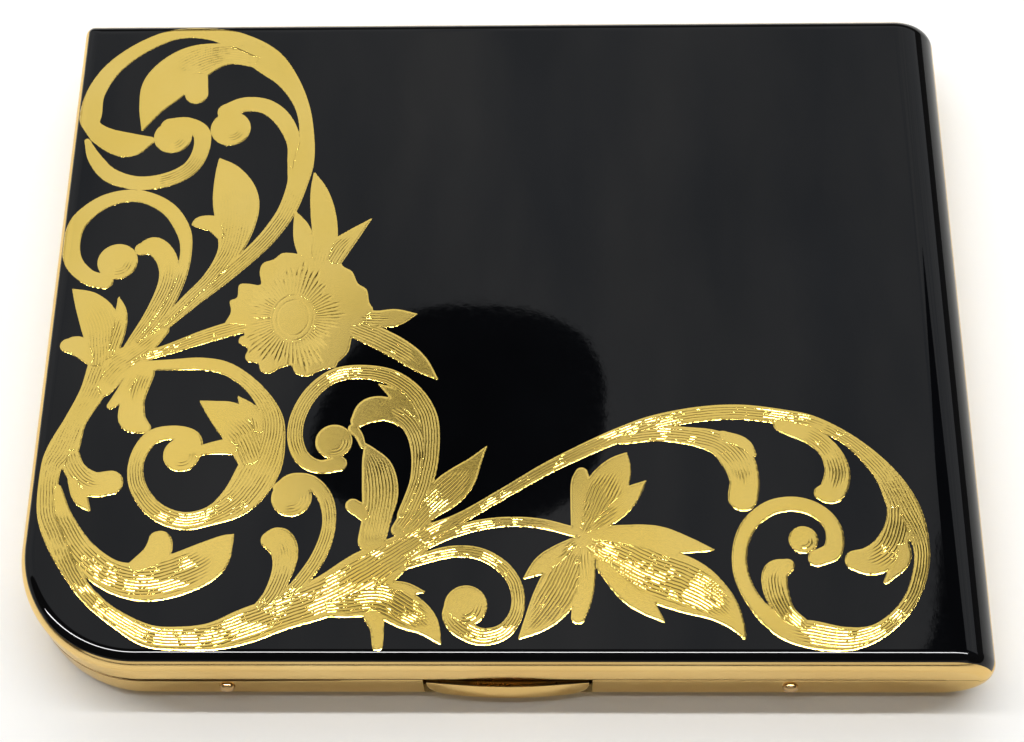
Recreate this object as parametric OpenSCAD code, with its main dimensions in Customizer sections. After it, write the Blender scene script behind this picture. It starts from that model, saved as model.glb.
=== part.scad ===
// Powder compact: a flat hinged case with an enamelled lid, a mirror in the
// lid, and a powder well with a sifter, a puff and a small inner door below.
// The origin is the centre of the face it stands on. +X is to the right, +Y
// is towards the hinge, and +Z is up. The case is drawn closed.

/* [Case] */
// Width of the case, left side to the rounded spine
case_w = 88.9; // [80:0.1:100]
// Depth of the case, thumb catch to hinge
case_d = 69.9; // [60:0.1:80]
// Thickness of the closed case
case_t = 9.4; // [8.6:0.1:11]
// Thickness of the brass sheet
wall = 0.7; // [0.5:0.05:0.8]
// Radius of the large front left corner
corner_r = 11.6; // [6:0.1:16]
// Radius that rounds the edges of the lid and of the base
edge_r = 1.6; // [1.4:0.1:2]
// Height of the seam between the base and the lid
seam_z = 5; // [4.8:0.1:5.2]
// Gap left at the seam
seam_gap = 0.12; // [0.1:0.01:0.2]

/* [Lid] */
// Thickness of the enamel
enamel_t = 0.3; // [0.2:0.05:0.4]
// Width of the gilt lip left round the enamel, seen from above
lip_w = 0.55; // [0.3:0.05:0.9]
// Height of the gilt scrollwork above the enamel
scroll_h = 0.06; // [0.04:0.01:0.1]
// Distance from the edge of the case to the mirror's frame
mirror_inset = 3.2; // [2.5:0.1:6]
// Thickness of the mirror glass
mirror_t = 1; // [0.8:0.1:1.2]

/* [Hinge] */
// Length of the hinge
hinge_l = 52; // [30:1:60]
// Outer radius of the hinge knuckles
knuckle_r = 1.15; // [1:0.05:1.3]
// Radius of the hinge pin
hinge_pin_r = 0.45; // [0.4:0.05:0.6]

/* [Catch] */
// Width of the thumb catch
catch_w = 15.1; // [10:0.1:20]
// How far the middle of the catch stands out of the front wall
catch_out = 0.6; // [0.4:0.05:1]
// How far the catch is pressed in
catch_travel = 0.8; // [0.5:0.1:0.9]
// Distance from the middle of the catch to each rivet
rivet_x = 25.7; // [20:0.1:30]

/* [Powder well] */
// Inner radius of the powder well
well_r = 23.6; // [18:0.1:25]
// Thickness of the puff
puff_t = 2; // [1:0.1:2]

/* [Hidden] */
$fn = 64;

gap = 0.1;               // ordinary clearance
run = 0.05;              // radial clearance of a pin in its hole
big = 200;               // larger than the case
hx = case_w / 2;
hy = case_d / 2;
spine_r = case_t / 2;    // the right side is half round
spine_x = hx - spine_r;
back_corner_r = edge_r + 0.2;
corner_x = -hx + corner_r;
corner_y = -hy + corner_r;
lid_z = seam_z + seam_gap;
in_y = -hy + wall;       // inner face of the front wall

rim_t = 0.4;             // inner rim that locates the lid
rim_up = 0.7;
deck_z = 3.9;
deck_t = 0.5;
deck_top = deck_z + deck_t;

axis_y = hy + 0.2;       // lid hinge axis
axis_z = seam_z;
knuckles = 7;
knuckle_l = hinge_l / knuckles;
leaf_t = 0.5;
leaf_y = -in_y - leaf_t;
knuckle_foot = -1.6;     // the knuckles rise from the leaf here, below the axis

cat_x = 0.4;             // the catch sits a little right of the middle
catch_z0 = 1.3;
catch_z1 = 4.5;
rim_z = catch_z1 + gap;  // the pressed catch passes under the rim
stem_w = 7;
stem_z = 3.2;
nose_y = in_y + 0.5;
nose_t = 0.4;
rivet_z = 3.1;
rivet_r = 0.4;
dome_r = 0.74;

well = [-4, -2.5, 0];
well_t = 0.4;
powder_t = 0.8;
ring_z = wall + well_t + powder_t + gap / 2;
ring_h = 0.5;
gauze_t = 0.1;
puff_z = ring_z + ring_h + gap / 2;

door_r = well_r + 1.8;
door_z = 4.85;
door_t = 0.4;
door_axis = [well[0], well[1] + 27.5, 5.35];
door_knuckle_r = 0.8;
door_pin_r = 0.35;
door_knuckle_l = 10;
lug_w = 2;

glass_z = case_t - wall - 0.3 - mirror_t;
frame_w = 1.6;
mirror_x = 36;

// Scrollwork: each stroke is a run of [x, y, half width] points, and each
// ball that ends a scroll is [x, y, radius].
strokes = [
    // upper left scroll, round the far left corner
    [[-34.5, -2.8, 0.3], [-30, 2, 0.5], [-26.6, 5.6, 0.7], [-22.8, 11, 0.9], [-20.8, 17, 1.1],
     [-20.4, 21, 1], [-21.8, 25.5, 1.1], [-25, 29.4, 1.6], [-29.5, 32, 1.2], [-33.5, 33, 0.8],
     [-38, 31.3, 0.9], [-41.3, 28, 1], [-42.6, 24, 1.2], [-41.6, 21, 1.2], [-38.6, 19.8, 1.3],
     [-36, 20.3, 0.4]],
    [[-42.6, 20.6, 0.4], [-41, 17.5, 0.7], [-37.6, 15.3, 0.7], [-34, 15.4, 0.7], [-31.2, 17.4, 0.8],
     [-30.8, 20.2, 0.7], [-31.8, 22, 0.9], [-33.8, 22.2, 0.8], [-35, 20.8, 0.7]],
    [[-21.4, 17, 0.5], [-21.6, 20.4, 0.8], [-23.4, 23.4, 0.8], [-26.6, 24.7, 0.9], [-29, 23.4, 1]],
    [[-25, 30, 1.2], [-30, 30.6, 1.3], [-34, 28.4, 2.6], [-36, 25, 1.6], [-37.1, 21.4, 0.3]],
    // left ring
    [[-36.6, -3.6, 0.3], [-33.6, 0.4, 0.9], [-32, 4.6, 1.2], [-31.6, 8.6, 0.9], [-33.2, 12, 0.8],
     [-36.8, 13.6, 0.7], [-40.6, 12.5, 0.8], [-42.8, 9, 0.9], [-41.8, 5.6, 0.8], [-39, 4, 0.8]],
    // tall leaf and left leaf
    [[-30, 1.6, 0.4], [-27.8, 5, 0.8], [-27.2, 9, 1.4], [-27, 12.6, 2], [-28, 15.6, 1.5],
     [-29, 18, 0.2]],
    [[-38.4, -5, 1.8], [-38.6, -1, 2.2], [-40.2, 1.4, 1.5], [-42.2, 3.2, 0.2]],
    // flower stalk and its upper leaves
    [[-36, -4, 0.4], [-31, -2.6, 0.6], [-26, -1, 0.9], [-23, 0, 1]],
    [[-18.4, 5, 1], [-17.4, 9, 1.1], [-18, 13, 1.2], [-19.4, 16.2, 0.2]],
    [[-14, 0, 1], [-11, -1.6, 0.9], [-8.4, -3.6, 0.8], [-6.4, -6.6, 0.2]],
    // long scroll: down the left, along the front and round the right end
    [[-38, -4, 1.4], [-38.8, -8, 1.2], [-41, -12, 1.1], [-42.2, -16, 1.3], [-41.8, -20, 1.2],
     [-39.6, -24.8, 1.1], [-36, -28.6, 1.2], [-31.4, -31.6, 1.2], [-26, -32.2, 1.4],
     [-20.6, -30.6, 1.5], [-15, -28.4, 1.8], [-10, -26, 1.6], [-5.6, -22.8, 1.1], [-1, -19.6, 0.7],
     [4, -16.3, 0.7], [9, -13.2, 0.8], [14, -11.3, 0.8], [20, -10.3, 0.8], [26, -10.5, 0.9],
     [32, -13.4, 1.2], [36.2, -18, 1.2], [38, -23.4, 0.9], [37, -28.2, 0.9], [33.4, -31.6, 0.9],
     [29, -32.5, 1], [24.6, -30.8, 1], [22, -27.4, 0.8], [21.6, -23.6, 0.7], [23.6, -20.4, 0.7],
     [27, -19.4, 0.7], [29.8, -21, 0.8], [29.8, -23.4, 0.8], [28, -24.6, 0.5]],
    [[-40.8, -16, 0.7], [-39.6, -21, 1], [-36.8, -25, 1], [-33, -27, 1.6], [-29, -26.4, 2],
     [-26, -24.4, 1.4], [-24.8, -22.4, 0.2]],
    // lower left ring
    [[-34, -4.6, 0.5], [-29, -5, 0.7], [-24.6, -7, 0.8], [-21.8, -11, 0.9], [-22.2, -15.6, 1.6],
     [-24.6, -19, 1.4], [-28.6, -21, 0.9], [-32.4, -19.4, 0.8], [-34.3, -15.6, 0.8],
     [-33, -12.4, 0.7], [-30, -12.2, 0.7], [-28.6, -13.6, 0.6]],
    // strokes that rise from the middle of the front
    [[-20.6, -29, 0.6], [-17.4, -26, 0.7], [-15.8, -22, 0.7], [-16.4, -18.6, 0.7], [-19, -17.2, 0.6]],
    [[-22, -30, 0.6], [-19.8, -26.6, 0.9], [-20, -23.6, 1.1], [-21.8, -22.6, 0.4]],
    [[-9.4, -23, 0.6], [-7.4, -18, 1.2], [-6.8, -13.6, 1.2], [-8, -9.4, 1.1], [-10.8, -6.6, 0.9],
     [-14.6, -5.7, 0.7], [-18, -7.6, 0.7], [-19.6, -11, 0.7], [-18.6, -14.4, 0.7], [-16.4, -15.6, 0.6]],
    [[-11.6, -22, 1.2], [-11.4, -18, 1.3], [-12, -15.4, 0.9], [-13, -13.4, 0.2]],
    [[-8, -22.6, 0.8], [-5.2, -18.6, 1.3], [-3.4, -16.2, 0.8], [-1.8, -13.8, 0.2]],
    [[-8, -24.7, 0.6], [-4, -24.1, 0.6], [-0.4, -25.5, 0.6], [1.2, -28.6, 0.6], [0.2, -31.4, 0.7],
     [-2.6, -32.3, 0.6], [-4.6, -30.6, 0.6]],
    [[-12, -28.6, 1.2], [-9, -29.6, 1.8], [-7, -31, 1.2], [-5.4, -32.7, 0.2]],
    // five lobed leaf
    [[7.4, -22.4, 0.8], [8.6, -19, 1.7], [10.4, -16.6, 1.4], [11.4, -14.4, 0.2]],
    [[6.6, -22.4, 0.6], [6.8, -18.6, 0.9], [7.2, -16.2, 0.4]],
    [[-4, -21.8, 0.6], [0, -21.2, 0.4], [4, -21.4, 0.4], [7, -22.4, 0.8], [12, -22.6, 1],
     [16, -23.2, 0.8], [18.8, -24, 0.2]],
    [[8, -23.4, 0.8], [12, -26, 2.2], [16, -27.6, 2], [19.6, -30, 1.2], [21.4, -32.2, 0.2]],
    [[7, -23.4, 0.8], [7.4, -27, 1.2], [6.8, -31, 0.3]],
    [[6.4, -23.4, 0.8], [4.4, -27, 1.6], [3, -30, 1], [1.6, -32.3, 0.2]],
    // leaves inside the right end
    [[10, -13, 0.6], [15, -12.6, 0.6], [19.4, -13.4, 1], [21.8, -16, 1.1], [22, -19, 1]],
    [[27, -11.4, 0.6], [30, -13.4, 0.8], [31, -16.6, 1.1], [29.6, -18.8, 0.6]],
    [[36, -17.6, 0.8], [36, -21.4, 1], [34.4, -24.4, 1.4], [32, -25, 1]],
    [[26.6, -31, 0.7], [24.6, -28.6, 1], [24.6, -26.2, 1], [26.4, -25.4, 0.3]]
];
balls = [
    [-33.8, 20.5, 1.8], [-28.1, 21.6, 1.9], [-38.2, 6.2, 1.9], [-30.2, -14.5, 1.6],
    [-16, -13.3, 1.7], [-19.6, -18.8, 1.8], [-3, -29.2, 1.5], [27.2, -23.1, 1.3]
];
flower = [-20.3, 0.2];
flower_r = 6.1;

// Part to draw

gold = [0.83, 0.68, 0.36];
brass = [0.75, 0.62, 0.33];
steel = [0.7, 0.7, 0.72];

// ---- outlines -------------------------------------------------------------

// Rectangle from (x0, y0) to (x1, y1) with round right corners
module bullet(x0, y0, x1, y1, r) {
    translate([x0, y0])
        square([x1 - x0 - r, y1 - y0]);
    translate([x0, y0 + r])
        square([x1 - x0, y1 - y0 - 2 * r]);
    for (y = [y0 + r, y1 - r])
        translate([x1 - r, y])
            circle(r);
}

// Plan of the case left of the spine, drawn in by g, with the right side at xr
module plan(g, xr) {
    rb = max(back_corner_r - g, gap);
    rc = corner_r - g;
    translate([corner_x, -hy + g])
        square([xr - corner_x, case_d - 2 * g]);
    translate([-hx + g, corner_y])
        square([xr + hx - g, hy - g - rb - corner_y]);
    translate([-hx + g + rb, corner_y])
        square([xr + hx - g - rb, hy - g - corner_y]);
    translate([corner_x, corner_y])
        circle(rc);
    translate([-hx + g + rb, hy - g - rb])
        circle(rb);
}

// ---- closed case, drawn in by g ------------------------------------------
// Its pieces meet face to face: a middle bar, a left bar, the strip behind
// that, two rounded corners and the half round spine.

// Section of an edge: from x0 out to x1, rounded at the outer end
module edge_section(x0, x1, g) {
    bullet(x0, g, x1, case_t - g, edge_r - g);
}

// Extrudes a section drawn as (Y, Z) along X, from x0 to x1
module along_x(x0, x1) {
    translate([x0, 0, 0])
        rotate([90, 0, 90])
            linear_extrude(x1 - x0)
                children();
}

// Quarter disc with round rims, in the corner towards [side_x, side_y]
module quarter(x, y, r, g, turn) {
    translate([x, y, 0])
        rotate(turn)
            rotate_extrude(angle = 90)
                edge_section(0, r - g, g);
}

// Disc with round rims, standing between z0 and z1
module puck(r, z0, z1, e) {
    rotate_extrude()
        bullet(0, z0, r, z1, e);
}

module case_solid(g) {
    back_x = -hx + back_corner_r;
    back_y = hy - back_corner_r;
    // middle bar
    along_x(corner_x, spine_x) {
        edge_section(0, hy - g, g);
        mirror([1, 0])
            edge_section(0, hy - g, g);
    }
    // left bar
    translate([0, back_y, 0])
        rotate([90, 0, 0])
            linear_extrude(back_y - corner_y)
                mirror([1, 0])
                    edge_section(-corner_x, hx - g, g);
    // strip behind the left bar
    along_x(back_x, corner_x)
        edge_section(back_y, hy - g, g);
    quarter(corner_x, corner_y, corner_r, g, 180);
    quarter(back_x, back_y, back_corner_r, g, 90);
    // spine
    intersection() {
        translate([spine_x, 0, case_t / 2])
            rotate([90, 0, 0])
                puck(spine_r - g, -hy + g, hy - g, edge_r - g);
        translate([spine_x, -hy, 0])
            cube([spine_r, case_d, case_t]);
    }
}

// Slab of space between two heights
module band(z0, z1) {
    translate([-big / 2, -big / 2, z0])
        cube([big, big, z1 - z0]);
}

// Space above the gilt lip, where the enamel lies
module enamel_zone() {
    translate([0, 0, seam_z + 0.6])
        linear_extrude(case_t) {
            plan(lip_w, spine_x);
            translate([spine_x - gap, -hy + lip_w])
                square([spine_r + 1, case_d - 2 * lip_w]);
        }
}

// ---- hinge ------------------------------------------------------------------

module along_axis(r, l) {
    translate([0, axis_y, axis_z])
        rotate([0, 90, 0])
            cylinder(r = r, h = l, center = true);
}

// Middles of the knuckles that belong to the base (0) or to the lid (1)
function knuckle_at(side) = [for (i = [side:2:knuckles - 1]) (i - (knuckles - 1) / 2) * knuckle_l];

// Strip of the hinge of length l round x, extruded from a (Y, Z) section
module hinge_strip(x, l, side) {
    translate([0, axis_y, axis_z])
        mirror([0, 0, side])
            along_x(x - l / 2, x + l / 2)
                children();
}

// Half of the hinge: side 0 has its leaf in the base, side 1 in the lid. The
// leaf is one strip along the whole hinge, and the knuckles rise from it.
module hinge_half(side) {
    in = leaf_y - axis_y;    // the leaf lies this far in from the axis
    room = side == 0 ? axis_z : case_t - axis_z;
    low = edge_r + gap - room;
    web_low = -0.95;
    web_top = -0.2;
    hinge_strip(0, hinge_l - gap, side)
        translate([in, low])
            square([leaf_t, knuckle_foot - low]);
    for (x = knuckle_at(side))
        hinge_strip(x, knuckle_l - gap, side)
            difference() {
                union() {
                    circle(knuckle_r);
                    polygon([[in, knuckle_foot], [in + leaf_t, knuckle_foot], [in + leaf_t, web_low],
                             [-hinge_pin_r / 2, web_low], [-hinge_pin_r / 2, web_top], [in, web_top]]);
                }
                circle(hinge_pin_r + side * run);
            }
}

module hinge_slot() {
    along_axis(knuckle_r + 0.2, hinge_l + 0.4);
}

// ---- base ---------------------------------------------------------------------

module catch_notch() {
    translate([cat_x - catch_w / 2 - 0.15, -big, catch_z0 - 0.2])
        cube([catch_w + 0.3, big + in_y + 1, case_t]);
}

module rivet_places() {
    for (s = [-1, 1])
        translate([cat_x + s * rivet_x, -hy, rivet_z])
            rotate([90, 0, 0])
                children();
}

module base_shell() {
    color(gold)
        difference() {
            intersection() {
                case_solid(0);
                band(0, seam_z);
            }
            case_solid(wall);
            intersection() {
                catch_notch();
                translate([-hx, -hy - 1, 0])
                    cube([case_w, wall + 2, seam_z + 1]);
            }
            hinge_slot();
            rivet_places()
                cylinder(r = rivet_r + 0.02, h = 2 * wall + 1, center = true);
        }
}

module inner_rim() {
    color(brass)
        difference() {
            union() {
                intersection() {
                    case_solid(wall);
                    band(rim_z, seam_z);
                }
                intersection() {
                    case_solid(wall + 0.15);
                    band(rim_z, seam_z + rim_up);
                }
            }
            case_solid(wall + rim_t);
            translate([-hx, hy - 7, 0])
                cube([case_w, 8, case_t]);
            translate([cat_x - stem_w / 2 - 0.4, -hy, 0])
                cube([stem_w + 0.8, 3, case_t]);
        }
}

module deck_plate() {
    color(brass)
        difference() {
            intersection() {
                case_solid(wall + rim_t);
                band(deck_z, deck_top);
                translate([-hx, -hy, 0])
                    cube([case_w, hy + leaf_y - gap, case_t]);
            }
            translate(well)
                cylinder(r = well_r + well_t + run, h = case_t);
            translate([cat_x - stem_w / 2 - 0.3, -hy, 0])
                cube([stem_w + 0.6, wall + 2.2, case_t]);
        }
}

module powder_well() {
    color(gold)
        translate(well)
            rotate_extrude() {
                translate([0, wall])
                    square([well_r + well_t, well_t]);
                translate([well_r, wall])
                    square([well_t, deck_top + 0.2 - wall]);
                translate([well_r, deck_top])
                    square([1.3, 0.2]);
            }
}

module loose_powder() {
    color([0.91, 0.74, 0.62])
        translate(well + [0, 0, wall + well_t])
            cylinder(r = well_r - gap, h = powder_t);
}

module sifter_ring() {
    color(gold)
        translate(well)
            rotate_extrude()
                difference() {
                    translate([well_r - 1.6, ring_z])
                        square([1.55, ring_h]);
                    translate([0, ring_z + 0.2])
                        square([well_r - 1 + run, gauze_t]);
                }
}

module sifter_gauze() {
    color([0.93, 0.89, 0.83])
        translate(well + [0, 0, ring_z + 0.2])
            cylinder(r = well_r - 1, h = gauze_t);
}

module powder_puff() {
    color([0.95, 0.84, 0.79])
        translate(well)
            puck(well_r - 2.2, puff_z, puff_z + puff_t, puff_t / 2 - gap);
}

module puff_ribbon() {
    color([0.86, 0.66, 0.62])
        translate(well + [0, 0, puff_z + puff_t])
            intersection() {
                cylinder(r = well_r - 4, h = 0.12);
                translate([0, 0, 0.06])
                    cube([big, 7, 1], center = true);
            }
}

module door_lugs() {
    foot = deck_top;
    color(brass)
        difference() {
            for (s = [-1, 1])
                translate([door_axis[0] + s * (door_knuckle_l / 2 + gap + lug_w / 2), door_axis[1], 0]) {
                    translate([-lug_w / 2, -door_knuckle_r, foot])
                        cube([lug_w, 2 * door_knuckle_r, door_axis[2] - foot]);
                    translate([0, 0, door_axis[2]])
                        rotate([0, 90, 0])
                            cylinder(r = door_knuckle_r, h = lug_w, center = true);
                }
            door_bore(door_pin_r);
        }
}

module door_bore(r) {
    translate(door_axis)
        rotate([0, 90, 0])
            cylinder(r = r, h = 3 * door_knuckle_l, center = true);
}

module door_pin() {
    color(steel)
        translate(door_axis)
            rotate([0, 90, 0])
                cylinder(r = door_pin_r, h = door_knuckle_l + 2 * (gap + lug_w), center = true);
}

module catch_spring() {
    strip_t = 0.2;
    strip_z0 = 1.5;
    strip_h = 1.4;
    set_back = catch_travel + 0.15;    // bowed in, as when the catch is pressed
    flat = 10;
    end_x = rivet_x + 1.4;
    color(steel)
        translate([cat_x, in_y, 0])
            difference() {
                union() {
                    translate([0, 0, strip_z0])
                        linear_extrude(strip_h)
                            polygon([[-end_x, 0], [-end_x + 3.4, 0], [-flat, set_back], [flat, set_back],
                                     [end_x - 3.4, 0], [end_x, 0], [end_x, strip_t],
                                     [end_x - 3.4, strip_t], [flat, set_back + strip_t],
                                     [-flat, set_back + strip_t], [-end_x + 3.4, strip_t],
                                     [-end_x, strip_t]]);
                    for (s = [-1, 1])
                        translate([s * rivet_x - 1.1, 0, strip_z0])
                            cube([2.2, strip_t, rivet_z + 0.7 - strip_z0]);
                }
                for (s = [-1, 1])
                    translate([s * rivet_x, 0, rivet_z])
                        rotate([90, 0, 0])
                            cylinder(r = rivet_r + 0.02, h = 2, center = true);
            }
}

module catch_rivets() {
    dome_h = 0.52;
    sphere_r = (dome_r * dome_r + dome_h * dome_h) / (2 * dome_h);
    color(gold)
        rivet_places() {
            intersection() {
                translate([0, 0, dome_h - sphere_r])
                    sphere(sphere_r);
                // wider than the dome, so that only its flat end cuts the sphere
                cylinder(r = dome_r + 0.2, h = 1);
            }
            translate([0, 0, -wall - 0.2])
                cylinder(r = rivet_r, h = wall + 0.3);
            translate([0, 0, -wall - 0.35])
                cylinder(r = rivet_r + 0.25, h = 0.15);
        }
}

module base_hinge() {
    color(brass)
        hinge_half(0);
}

module hinge_pin() {
    color(steel)
        along_axis(hinge_pin_r, hinge_l);
}

// ---- inner door ---------------------------------------------------------------

module inner_door() {
    color(gold)
        difference() {
            translate(well + [0, 0, door_z])
                cylinder(r = door_r, h = door_t);
            translate([well[0] - door_r, door_axis[1] - 1.7, 0])
                cube([2 * door_r, 9, case_t]);
        }
}

module door_knuckle() {
    web = 0.4;
    y0 = door_axis[1] - 3.4;
    color(brass)
        difference() {
            union() {
                translate(door_axis)
                    rotate([0, 90, 0])
                        cylinder(r = door_knuckle_r, h = door_knuckle_l, center = true);
                translate([door_axis[0] - door_knuckle_l / 2, y0, door_z + door_t])
                    cube([door_knuckle_l, door_axis[1] - y0, web]);
            }
            door_bore(door_pin_r + run);
        }
}

module door_tab() {
    color(gold)
        translate([well[0], well[1] - door_r + 0.6, door_z + door_t])
            intersection() {
                cylinder(r = 2.2, h = 0.5);
                translate([-3, -2.6, 0])
                    cube([6, 2.6, 1]);
            }
}

// ---- lid ----------------------------------------------------------------------

module lid_shell() {
    thumb_w = 6.4;
    thumb_h = 0.28;
    thumb_r = (thumb_w * thumb_w / 4 + thumb_h * thumb_h) / (2 * thumb_h);
    color(gold)
        difference() {
            intersection() {
                case_solid(0);
                band(lid_z, case_t);
            }
            case_solid(wall);
            difference() {
                enamel_zone();
                case_solid(enamel_t);
            }
            hinge_slot();
            translate([cat_x, -hy, lid_z + thumb_h - thumb_r])
                rotate([90, 0, 0])
                    cylinder(r = thumb_r, h = 3 * wall, center = true, $fn = 128);
        }
}

module lid_enamel() {
    color([0.03, 0.03, 0.035])
        difference() {
            intersection() {
                case_solid(0);
                enamel_zone();
            }
            case_solid(enamel_t);
        }
}

// Point on a smooth curve through p1 and p2, at t from 0 to 1
function smooth(p0, p1, p2, p3, t) =
    0.5 * (2 * p1 + (p2 - p0) * t + (2 * p0 - 5 * p1 + 4 * p2 - p3) * t * t
        + (3 * p1 - p0 - 3 * p2 + p3) * t * t * t);

// A run of points with extra ones on the curve between them
function run_of(p, steps = 3) =
    let (n = len(p) - 1)
    [for (k = [0:n * steps])
        let (i = min(floor(k / steps), n - 1))
        smooth(p[max(i - 1, 0)], p[i], p[i + 1], p[min(i + 2, n)], k / steps - i)];

// Unit normal of the run c at its point i
function normal(c, i) =
    let (d = c[min(i + 1, len(c) - 1)] - c[max(i - 1, 0)])
    [-d[1], d[0]] / norm([d[0], d[1]]);

module stroke(p) {
    c = run_of(p);
    n = len(c) - 1;
    left = [for (i = [0:n]) [c[i][0], c[i][1]] + normal(c, i) * c[i][2]];
    right = [for (i = [n:-1:0]) [c[i][0], c[i][1]] - normal(c, i) * c[i][2]];
    polygon(concat(left, right));
}

module scrolls() {
    for (p = strokes)
        stroke(p);
    for (b = balls)
        translate([b[0], b[1]])
            circle(b[2]);
    // five broad petals, each with a ruffled edge
    translate(flower)
        polygon([for (a = [0:5:355])
            (flower_r * (1 + 0.08 * cos(5 * a - 40) + 0.03 * sin(15 * a))) * [cos(a), sin(a)]]);
}

module lid_scrollwork() {
    color([0.89, 0.77, 0.42])
        translate([0, 0, case_t])
            linear_extrude(scroll_h)
                intersection() {
                    scrolls();
                    plan(edge_r, spine_x);
                }
}

module lid_hinge() {
    color(brass)
        hinge_half(1);
}

module mirror_glass() {
    color([0.8, 0.85, 0.88])
        translate([0, 0, glass_z])
            linear_extrude(mirror_t)
                plan(mirror_inset + frame_w / 2, mirror_x - frame_w / 2);
}

module mirror_backing() {
    color([0.55, 0.5, 0.42])
        translate([0, 0, glass_z + mirror_t])
            linear_extrude(0.3)
                plan(mirror_inset + frame_w / 2, mirror_x - frame_w / 2);
}

module mirror_frame() {
    lip = 0.25;
    color(gold)
        difference() {
            translate([0, 0, glass_z - lip])
                linear_extrude(mirror_t + 0.3 + lip)
                    plan(mirror_inset, mirror_x);
            translate([0, 0, glass_z])
                linear_extrude(case_t)
                    plan(mirror_inset + frame_w / 2, mirror_x - frame_w / 2);
            linear_extrude(case_t)
                plan(mirror_inset + frame_w, mirror_x - frame_w);
        }
}

module lid_keeper() {
    keeper_w = 6;
    color(brass)
        translate([cat_x - keeper_w / 2, in_y, lid_z + 0.1])
            cube([keeper_w, nose_y - in_y - gap, 0.5]);
}

// ---- thumb catch ----------------------------------------------------------------

module catch_outline() {
    bow_r = (catch_w * catch_w / 4 + catch_out * catch_out) / (2 * catch_out);
    intersection() {
        translate([-catch_w / 2, -catch_out])
            square([catch_w, catch_out + wall]);
        translate([0, bow_r - catch_out])
            circle(bow_r, $fn = 256);
    }
}

module thumb_catch() {
    low_r = 1.8;
    dish_r = 60;
    dish_deep = 0.7;    // leaves the pressed plate clear of the deck
    color(gold)
        translate([cat_x, -hy, 0]) {
            difference() {
                intersection() {
                    translate([0, 0, catch_z0])
                        linear_extrude(catch_z1 - catch_z0)
                            catch_outline();
                    rotate([90, 0, 0])
                        linear_extrude(4, center = true)
                            rotate(-90)
                                bullet(-case_t, -catch_w / 2, -catch_z0, catch_w / 2, low_r);
                }
                translate([0, dish_r - catch_out + 0.3, catch_z1 - dish_deep])
                    cylinder(r = dish_r, h = 1, $fn = 256);
            }
            translate([-stem_w / 2, wall - 0.05, stem_z])
                cube([stem_w, 0.55 + nose_t, 0.5]);
            translate([-stem_w / 2, wall + 0.5, stem_z])
                cube([stem_w, nose_t, 2.5]);
        }
}

base_shell();
inner_rim();
deck_plate();
powder_well();
loose_powder();
sifter_ring();
sifter_gauze();
powder_puff();
puff_ribbon();
door_lugs();
door_pin();
catch_spring();
catch_rivets();
base_hinge();
hinge_pin();
inner_door();
door_knuckle();
door_tab();
lid_shell();
lid_enamel();
lid_scrollwork();
lid_hinge();
mirror_glass();
mirror_backing();
mirror_frame();
lid_keeper();
thumb_catch();
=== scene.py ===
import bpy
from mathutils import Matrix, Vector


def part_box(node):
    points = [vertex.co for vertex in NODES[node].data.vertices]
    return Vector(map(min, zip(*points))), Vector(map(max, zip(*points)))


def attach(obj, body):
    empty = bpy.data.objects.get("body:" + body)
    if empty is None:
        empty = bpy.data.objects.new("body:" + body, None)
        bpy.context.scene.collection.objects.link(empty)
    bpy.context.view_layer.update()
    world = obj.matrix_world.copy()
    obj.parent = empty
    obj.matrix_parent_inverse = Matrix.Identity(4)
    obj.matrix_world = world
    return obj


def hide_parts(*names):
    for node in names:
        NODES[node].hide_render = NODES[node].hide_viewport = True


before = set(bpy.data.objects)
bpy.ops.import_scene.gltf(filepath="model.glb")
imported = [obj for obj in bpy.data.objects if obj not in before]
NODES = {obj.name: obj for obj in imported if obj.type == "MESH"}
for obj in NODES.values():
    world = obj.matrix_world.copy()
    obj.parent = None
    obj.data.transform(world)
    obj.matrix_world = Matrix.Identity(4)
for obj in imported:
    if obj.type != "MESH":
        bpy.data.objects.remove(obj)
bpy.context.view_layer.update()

import math

import bmesh
import bpy
import numpy as np
from mathutils import Matrix, Vector

MM = 0.001

# ---- sizes, in millimetres, in the CAD frame -------------------------------
lo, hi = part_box("lid_shell")
HX = round(hi.x / MM, 3)
HY = round(hi.y / MM, 3)
T = round(hi.z / MM, 3)           # top of the lid's metal; the CAD's case is 0.3 higher, over its enamel
LID_Z = round(lo.z / MM, 3)
SEAM_Z = round(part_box("base_shell")[1].z / MM, 3)
WALL = 0.7
EDGE_R = 1.6
CORNER_R = 11.6
BACK_R = 1.1
SPINE_R = T / 2
SPINE_X = HX - SPINE_R
CX, CY = -HX + CORNER_R, -HY + CORNER_R
BX, BY = -HX + BACK_R, HY - BACK_R
LIP_W = 0.55
CAT_X = 0.4
CATCH_W = 15.1
HINGE_HALF = 26.2
HINGE_CUT = 1.33
AXIS_Z = SEAM_Z


# ---- camera ------------------------------------------------------------------
def make_camera():
    tilt, yaw, roll = math.radians(64.02), math.radians(-3.11), math.radians(-2.95)
    forward = Vector((math.sin(yaw) * math.cos(tilt), math.cos(yaw) * math.cos(tilt), -math.sin(tilt)))
    right = Vector((math.cos(yaw), -math.sin(yaw), 0))
    up = right.cross(forward)
    side = right * math.cos(roll) + up * math.sin(roll)
    top = up * math.cos(roll) - right * math.sin(roll)
    data = bpy.data.cameras.new("camera")
    data.sensor_width = 36
    data.lens = 68.9
    data.clip_start = 0.005
    data.clip_end = 20
    cam = bpy.data.objects.new("camera", data)
    m = Matrix((side, top, -forward)).transposed().to_4x4()
    m.translation = Vector((5.1, -87.3, 176.5)) * MM
    cam.matrix_world = m
    bpy.context.scene.collection.objects.link(cam)
    bpy.context.scene.camera = cam


make_camera()


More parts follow.
